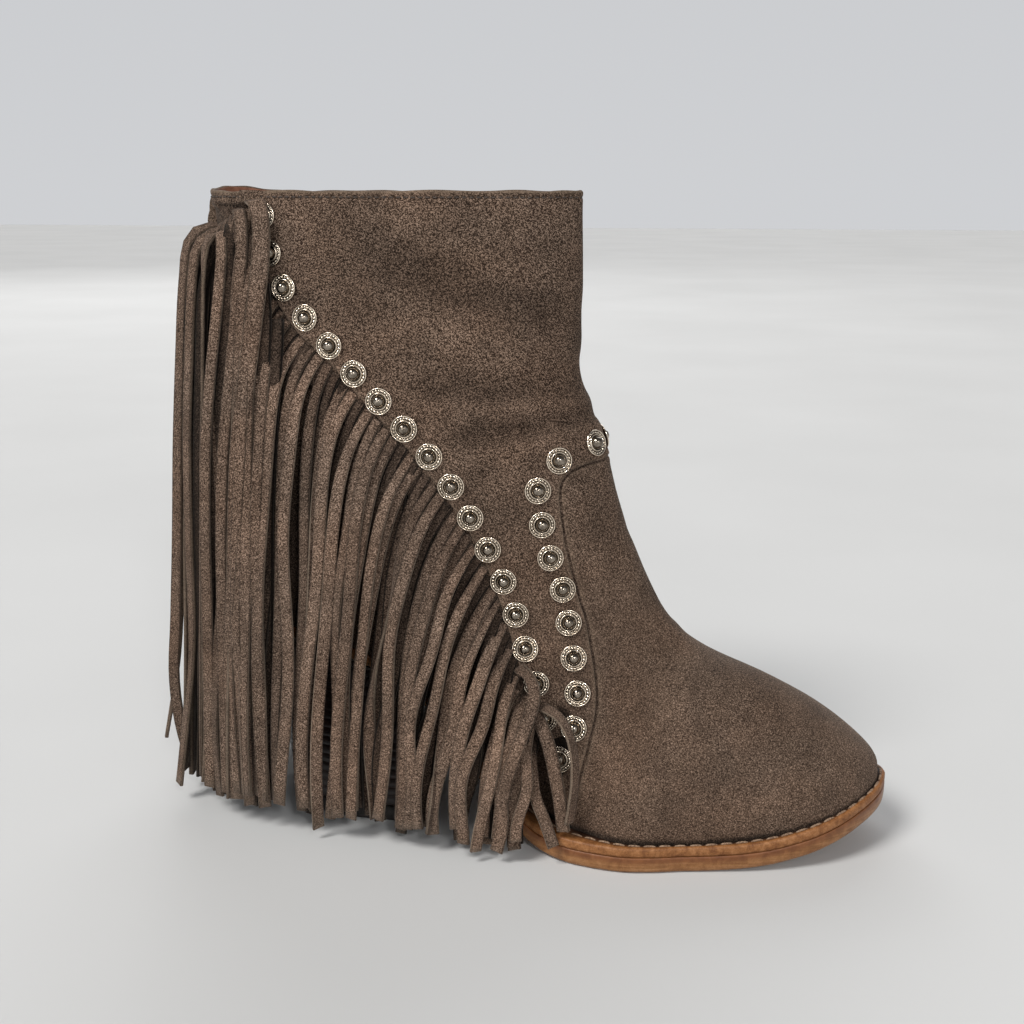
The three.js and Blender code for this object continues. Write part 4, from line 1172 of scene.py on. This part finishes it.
def ribbon(builder, pos, nrm, width, thick, twist, tone, slant=0.0, curl=0.0):
    n_ = len(pos)
    t = np.gradient(pos, axis=0)
    t /= np.linalg.norm(t, axis=1, keepdims=True)
    nn = nrm - t * np.sum(nrm * t, 1, keepdims=True)
    nn /= np.maximum(np.linalg.norm(nn, axis=1, keepdims=True), 1e-9)
    side_ = np.cross(t, nn)
    c, s_ = np.cos(twist)[:, None], np.sin(twist)[:, None]
    a, b = side_ * c + nn * s_, nn * c - side_ * s_
    shape = [(-.465, .47, 0), (-.36, .52, 0), (0, .54, 0), (.36, .52, 0), (.465, .47, 0), (.5, .26, 1), (.5, -.26, 1),
             (.42, -.5, 0), (0, -.5, 0), (-.42, -.5, 0), (-.5, -.26, 1), (-.5, .26, 1)]
    # painted shading across each strand: darker towards its edges, a touch lighter in the middle of its face
    border_shade = np.array([-.46, -.04, .07, -.04, -.46, -.22, -.4, -.45, -.45, -.45, -.4, -.22])
    width = np.broadcast_to(width, (n_,))
    pts_ = []
    for u, w, _ in shape:
        bend = curl * (1 - (2 * u) ** 2)
        pts_.append(pos + a * (u * width)[:, None] + b * (w * thick + bend))
    pts_ = np.stack(pts_, 1)
    pts_[-1, :, 2] += slant * np.array([u for u, _, _ in shape])
    pale = np.tile(np.array([e for _, _, e in shape], float), n_)
    tip = np.repeat(smoothstep(.985, 1.0, np.linspace(0, 1, n_)), len(shape)) * .5
    faces_ = grid_faces(n_, len(shape), True)
    faces_.append(tuple(range(len(shape))))
    faces_.append(tuple((n_ - 1) * len(shape) + k for k in range(len(shape)))[::-1])
    builder.add(pts_.reshape(-1, 3), [f[::-1] for f in faces_], 0,
                edge=np.clip(pale + tip, 0, 1), tone=np.repeat(np.broadcast_to(tone, (n_,)), len(shape)) + np.tile(border_shade, n_))


# Strands listed near the front end and the top corner (outer side): points x, y, z;
# then width, twist at the start and at the end in degrees.
HAND_STRANDS = [
    ([(116.9, -34.0, 54.2), (122.5, -39.0, 54.8), (127.8, -42.5, 53.3), (131.7, -44.5, 48.1), (133.6, -45.2, 40.3), (134.0, -45.6, 31.2), (133.3, -46.0, 23.3), (132.3, -46.4, 15.8)], 4.2, 74, 58),
    ([(115.8, -34.0, 55.4), (119.6, -38.5, 50.9), (123.8, -42.0, 43.5), (126.6, -44.0, 33.8), (128.7, -45.5, 24.4), (130.5, -46.8, 12.6)], 4.8, 6, -10),
    ([(116.6, -38.0, 37.6), (118.2, -42.0, 31.8), (120.2, -45.6, 23.8), (123.9, -47.8, 16.3), (127.4, -49.4, 7.6)], 4.3, 40, 26),
    ([(111.1, -31.0, 66.3), (115.6, -35.6, 65.1), (118.3, -39.4, 61.2), (118.1, -42.0, 55.7), (115.7, -44.5, 47.7), (112.9, -46.5, 39.3), (110.4, -48.0, 30.8), (108.6, -49.4, 20.6), (107.4, -50.0, 9.0)], 4.5, -16, 14),
    ([(113.6, -34.0, 47.4), (112.1, -39.0, 43.2), (111.3, -43.0, 33.8), (111.9, -47.0, 22.5), (113.1, -49.4, 5.6)], 4.7, 8, -6),
    ([(109.8, -33.0, 59.0), (107.8, -36.5, 55.0), (105.4, -41.5, 43.9), (102.9, -45.8, 30.5), (101.3, -48.4, 8.4)], 4.6, -20, 8),
]
# The same for the strands round the back and the top corner, with the way their faces look (x, y).
TOP_STRANDS = [
    ([(13.6, -20.4, 228.4), (15.9, -24.2, 229.0), (18.6, -26.8, 224.2), (19.4, -29.3, 211.9), (18.4, -30.9, 200.0), (15.3, -34.1, 175.6), (11.3, -36.9, 146.0), (9.0, -38.0, 117.1), (7.5, -39.0, 87.3), (6.4, -40.3, 49.1), (5.8, -41.5, 10.2)], 6.3, 0, 6, (.10, -1)),
    ([(6.6, -17.6, 225.0), (8.6, -21.9, 225.3), (10.7, -24.9, 221.0), (11.3, -27.3, 211.7), (10.6, -29.2, 199.8), (8.2, -32.6, 175.3), (4.6, -35.0, 145.5), (2.5, -36.5, 116.4), (1.7, -37.5, 86.5), (1.1, -39.0, 48.1), (.7, -40.0, 11.6)], 4.3, 4, -8, (0, -1)),
    ([(-1.4, -13.6, 219.0), (-.3, -18.0, 218.9), (1.9, -22.1, 214.9), (2.2, -25.2, 204.6), (.8, -28.2, 187.0), (-1.6, -30.5, 166.1), (-3.9, -31.5, 144.5), (-5.3, -33.0, 115.1), (-5.6, -34.5, 85.1), (-6.4, -36.0, 46.4), (-7.5, -37.0, 11.8)], 4.1, 0, 14, (-.12, -1)),
    ([(-3.0, -11.0, 219.4), (-4.9, -15.0, 218.7), (-5.5, -19.5, 212.9), (-5.5, -22.5, 202.6), (-6.0, -24.5, 183.2), (-7.5, -26.5, 143.5), (-9.0, -28.0, 106.1), (-9.9, -30.0, 67.7), (-10.4, -32.0, 28.2), (-11.7, -33.0, 12.1)], 4.4, -50, -62, (-.3, -1)),
    ([(-2.4, -8.6, 221.0), (-4.6, -12.0, 220.6), (-8.2, -14.5, 217.7), (-10.3, -16.5, 212.4), (-12.2, -18.5, 198.7), (-14.2, -20.0, 173.1), (-16.4, -21.0, 142.1), (-17.2, -22.5, 104.2), (-17.7, -24.0, 65.1), (-21.2, -26.0, 33.0), (-24.8, -27.5, 6.9)], 4.2, 0, -20, (-.35, -1)),
    ([(-3.6, -6.4, 222.0), (-6.6, -9.0, 222.1), (-11.9, -9.5, 220.7), (-16.1, -10.5, 214.6), (-18.8, -12.0, 198.1), (-21.1, -13.0, 172.1), (-23.5, -14.0, 140.6), (-25.8, -15.0, 101.8), (-28.0, -16.0, 69.8), (-29.8, -16.5, 47.1), (-28.0, -17.5, 27.7), (-23.6, -19.0, 12.4)], 4.3, 0, 40, (-.62, -1)),
    ([(-4.2, -3.0, 220.4), (-8.4, -6.0, 220.6), (-12.9, -6.0, 218.1), (-16.4, -7.0, 212.0), (-18.8, -8.0, 196.0), (-22.0, -9.0, 162.6), (-25.2, -10.0, 124.3), (-26.8, -11.0, 84.6), (-29.4, -12.0, 54.8), (-32.8, -13.0, 35.9), (-35.9, -14.0, 20.2)], 4.5, 0, -30, (-.7, -1)),
    ([(-5.0, -2.3, 219.5), (-11.0, -2.3, 217.0), (-16.5, -2.4, 208.0), (-19.6, -2.4, 185.0), (-22.6, -2.4, 140.0), (-25.0, -2.5, 95.0), (-27.2, -2.6, 50.0), (-28.6, -2.8, 8.0)], 4.9, 0, 6, (-1, -.08)),
    ([(-4.0, -4.6, 219.0), (-8.0, -10.0, 216.6), (-11.6, -13.0, 208.0), (-14.8, -15.4, 190.0), (-16.6, -17.0, 150.0), (-17.8, -18.6, 105.0), (-17.4, -20.4, 60.0), (-16.6, -22.0, 10.0)], 4.6, 12, -10, (-.45, -1)),
    ([(-2.0, -12.0, 217.0), (-3.4, -16.0, 212.0), (-6.6, -19.5, 200.0), (-9.8, -21.0, 165.0), (-12.2, -22.5, 120.0), (-13.2, -24.0, 70.0), (-12.8, -25.5, 9.0)], 4.8, -6, 10, (-.25, -1)),
    ([(3.6, -17.0, 220.0), (4.6, -22.0, 214.0), (5.6, -25.0, 200.0), (3.4, -27.6, 165.0), (.2, -29.0, 120.0), (-2.4, -31.4, 70.0), (-3.6, -34.0, 8.0)], 4.8, 4, -8, (-.05, -1)),
    ([(9.6, -21.0, 222.0), (13.6, -25.5, 214.0), (15.2, -28.0, 200.0), (11.6, -30.6, 165.0), (7.8, -33.0, 120.0), (4.6, -35.4, 70.0), (3.0, -37.4, 9.6)], 4.8, -4, 8, (.05, -1)),
    ([(5.0, -19.0, 216.0), (5.4, -23.0, 208.0), (5.0, -26.5, 190.0), (-1.0, -29.5, 140.0), (-6.0, -31.5, 80.0), (-9.5, -32.5, 10.0)], 4.8, 4, -8, (-.05, -1)),
    ([(11.0, -22.0, 216.0), (12.0, -25.6, 208.0), (12.0, -28.5, 190.0), (7.0, -31.5, 140.0), (3.0, -34.0, 80.0), (.5, -35.0, 9.0)], 4.8, -4, 8, (0, -1)),
    ([(16.0, -26.0, 208.0), (17.2, -28.0, 200.0), (17.0, -31.0, 182.0), (13.0, -33.8, 140.0), (11.0, -36.0, 80.0), (9.5, -37.6, 9.0)], 4.8, 4, -8, (0, -1)),
    ([(19.0, -28.0, 200.0), (20.2, -30.0, 190.0), (20.0, -32.0, 176.0), (17.5, -34.6, 140.0), (15.0, -36.8, 80.0), (13.5, -38.6, 8.0)], 4.8, -4, 8, (0, -1)),
    ([(24.2, -28.6, 188.0), (24.6, -31.4, 179.0), (24.0, -33.6, 166.0), (21.0, -36.0, 130.0), (19.0, -37.6, 80.0), (17.8, -39.0, 10.0)], 4.8, 4, -8, (0, -1)),
]

LAYER_DEPTH = (0.0, 2.3, 4.4)
for side, name in ((-1, "fringe_lateral"), (1, "fringe_medial")):
    rng = np.random.default_rng(40 + side)
    seam = seam_places(side)
    total = seam[2][-1]
    count = int(round(total / 4.35))
    strands = Builder()
    layer_last = 0
    places = [(i + .5) / count for i in range(count)]
    places += [.006 + .115 * (k + .5) / 9 for k in range(9)]  # the second cut row round the back
    places += [.16 + .8 * (k + .5) / 11 for k in range(11)]
    for i, along in enumerate(places):
        if side < 0 and along > .975:
            continue
        behind_top = along < .125
        layer = int(rng.choice([k for k in range(3) if k != layer_last])) if i < count else 0
        layer_last = layer
        depth = LAYER_DEPTH[layer] - (1.7 if i < count else 3.0) + rng.normal(0, .25)
        if behind_top:
            depth = -3.4 + .9 * layer
        end_z = float(np.clip(9.4 - 2.6 * smoothstep(.6, 1, along) + rng.normal(0, 2.1), 4.6, 16))
        wander = (rng.uniform(.3, 2.0), rng.uniform(.7, 1.8), rng.uniform(0, 1), rng.uniform(.2, 1.1))
        clump = 1.9 * math.sin(i * 1.13 + 1.5 * math.sin(i * .37)) * min(along / .12, 1)
        pos, nrm, v = strand_path(side, seam, along, depth, (clump + rng.normal(0, 1.8), rng.normal(0, .5)), end_z, wander)
        if rng.random() < .17:
            turn_mid, turn_end = np.radians(rng.uniform(45, 85) * rng.choice([-1, 1])), np.radians(rng.uniform(40, 90) * rng.choice([-1, 1]))
        else:
            turn_mid, turn_end = np.radians(rng.normal(0, 15)), np.radians(rng.normal(0, 24))
        if layer == 2:
            turn_mid, turn_end = turn_mid * .6, turn_end * .6
        twist = turn_mid * smoothstep(.05, .4, v) * (1 - smoothstep(.45, .95, v)) + turn_end * smoothstep(.45, .95, v)
        width = rng.uniform(4.0, 4.8)
        wide = width - .75 * smoothstep(.16, .03, v)
        thick = rng.uniform(1.15, 1.5)
        tone = rng.uniform(-.20, .17) + .05 * np.sin(v * rng.uniform(4, 9) + rng.uniform(0, 6))
        # painted shade: strands in deeper layers, the extra strands and the back row darker, the top layer a touch
        # lighter
        tone = tone * (.5 + .5 * smoothstep(0, .1, v)) - (.70 if i >= count and not behind_top else (.45, .25, .10)[layer] if behind_top else (.56, .20, -.05)[layer])
        ribbon(strands, pos, nrm, wide, thick, twist, tone, rng.uniform(-.9, .9), rng.uniform(-.25, .25))
    by_hand = [(*row, (.05, -1)) for row in HAND_STRANDS] + TOP_STRANDS
    for row_i, (points, width, tw0, tw1, face) in enumerate(by_hand):
        points = [(x, y, z - 2.5 * float(smoothstep(214, 219, z) * smoothstep(3, -3, x))) for x, y, z in points]
        line = smooth_line([(x, y * (1 if side < 0 else -1), z) for x, y, z in points], 1.0)
        line = smooth_line(line[:: max(len(line) // 30, 1)].tolist() + [line[-1].tolist()], max(len(line) / 40.0, .6)) if len(line) > 60 else line
        n_ = len(line)
        shares = np.linspace(0, 1, n_)
        nrm = np.tile(np.array([face[0], face[1] * (1 if side < 0 else -1), .05]), (n_, 1))
        nrm[:, 2] += 2.4 * smoothstep(.055, .0, shares) * (0 if row_i >= len(by_hand) - 3 else 1 if row_i >= len(HAND_STRANDS) else .4)
        nrm /= np.linalg.norm(nrm, axis=1, keepdims=True)
        twist = np.radians(tw0 + (tw1 - tw0) * shares)
        twist = twist * smoothstep(0, .12, shares)
        # painted shade: the last nine listed strands, the fill behind the others, are darkened
        ribbon(strands, line, nrm, width, 1.35, twist * (1 if side < 0 else -1), rng.uniform(-.12, .06) + .03 * np.sin(shares * 7) - (.72 if row_i >= len(by_hand) - 9 else 0), rng.uniform(-.6, .6), rng.uniform(-.15, .15))
    # the uncut band of the fringe panel, behind the first stretch of the strands, darkened with painted shade
    band_rows = []
    for along in np.linspace(.004, .985, 150):
        pos, nrm, v = strand_path(side, seam, along, -1.4, end_z=8.0)
        run_ = np.r_[0, np.cumsum(np.linalg.norm(np.diff(pos, axis=0), axis=1))]
        ds = np.array([0, 2.2, 4.6, 7.2, 10.0])
        mid = np.stack([np.interp(ds, run_, pos[:, k]) for k in range(3)], 1)
        nm = np.stack([np.interp(ds, run_, nrm[:, k]) for k in range(3)], 1)
        band_rows.append(np.vstack([mid + nm * -.15, (mid + nm * -1.1)[::-1]]))
    band_rows = np.array(band_rows)
    for _ in range(3):
        band_rows[1:-1] = band_rows[1:-1] * .5 + (band_rows[:-2] + band_rows[2:]) * .25
    faces = grid_faces(150, 10, True)
    faces.append(tuple(range(10)))
    faces.append(tuple(149 * 10 + k for k in range(10))[::-1])
    strands.add(band_rows.reshape(-1, 3), faces if side > 0 else [f[::-1] for f in faces], 0, tone=-.62, edge=0.0)
    obj = strands.object(name + "_strands", [M_FRINGE], "fringe_suede", [name])
    mesh_fix = bmesh.new()
    mesh_fix.from_mesh(obj.data)
    bmesh.ops.recalc_face_normals(mesh_fix, faces=mesh_fix.faces)
    mesh_fix.to_mesh(obj.data)
    mesh_fix.free()

# ------------------------------------------------------------------ floor, light, camera
floor_mat, nt, bsdf, co = new_material("pale_floor")
f = n_noise(nt, co, 3.0, 3.0, .5)
nt.links.new(n_ramp(nt, f, [(.3, (.56, .56, .555)), (.7, (.60, .60, .595))]), bsdf.inputs["Base Color"])
bsdf.inputs["Roughness"].default_value = .85
floor_mesh = bpy.data.meshes.new("floor")
floor_mesh.from_pydata([(-8, -8, 0), (8, -8, 0), (8, 8, 0), (-8, 8, 0)], [], [(0, 1, 2, 3)])
floor_mesh.materials.append(floor_mat)
floor = bpy.data.objects.new("floor", floor_mesh)
bpy.context.scene.collection.objects.link(floor)

world = bpy.data.worlds.new("studio")
world.use_nodes = True
wnt = world.node_tree
sky = wnt.nodes.new("ShaderNodeTexCoord")
part = wnt.nodes.new("ShaderNodeSeparateXYZ")
wnt.links.new(sky.outputs["Generated"], part.inputs[0])
wnt.links.new(n_ramp(wnt, part.outputs["Z"], [(.0, (.62, .63, .65)), (.16, (.60, .61, .63)), (.42, (.20, .205, .215)), (1.0, (.12, .122, .13))]),
              wnt.nodes["Background"].inputs[0])
wnt.nodes["Background"].inputs[1].default_value = 1.0
bpy.context.scene.world = world
bpy.context.scene.view_settings.view_transform = "Standard"


def area(name, where, target, size, power, colour=(1, 1, 1)):
    data = bpy.data.lights.new(name, "AREA")
    data.shape, data.size, data.energy, data.color = "SQUARE", size, power, colour
    obj = bpy.data.objects.new(name, data)
    obj.location = where
    obj.rotation_euler = (Vector(target) - Vector(where)).to_track_quat("-Z", "Y").to_euler()
    bpy.context.scene.collection.objects.link(obj)


def sun(name, toward, power, spread, colour=(1, 1, 1)):
    data = bpy.data.lights.new(name, "SUN")
    data.energy, data.angle, data.color = power, math.radians(spread), colour
    obj = bpy.data.objects.new(name, data)
    obj.rotation_euler = Vector(toward).to_track_quat("-Z", "Y").to_euler()
    obj.location = tuple(-3 * k for k in toward)
    bpy.context.scene.collection.objects.link(obj)


sun("key", (.50, .62, -1.0), 2.3, 22, (1, .985, .96))
sun("fill", (-.75, .8, -.55), .42, 50, (.97, .985, 1))
sun("back", (.1, -.9, -.62), .85, 45, (.98, .99, 1))
area("rim", (-1.6, 2.6, 1.8), (0, 0, .12), 1.4, 20)
area("front", (-.4, -2.4, .9), (0, 0, .1), 1.2, 8)
area("glint", (1.1, -2.2, 1.5), (0, 0, .1), .30, 15)

# Camera, fitted to the photograph: 12 degrees towards the toe, level track, looking 13.6 degrees down.
PSI, DIST, HIGH, AIM_X, FOCAL = math.radians(12), 481.0, 232.0, 102.0, 1332.0
cam_data = bpy.data.cameras.new("camera")
cam_data.sensor_width = 36
cam_data.sensor_fit = "HORIZONTAL"
cam_data.lens = FOCAL / 1024 * 36
cam_data.clip_start, cam_data.clip_end = .01, 60
camera = bpy.data.objects.new("camera", cam_data)
camera.location = to_world((AIM_X + math.sin(PSI) * DIST, -math.cos(PSI) * DIST, HIGH))
camera.rotation_euler = (math.pi / 2 - math.atan(322 / FOCAL), 0, PSI)
bpy.context.scene.collection.objects.link(camera)
bpy.context.scene.camera = camera
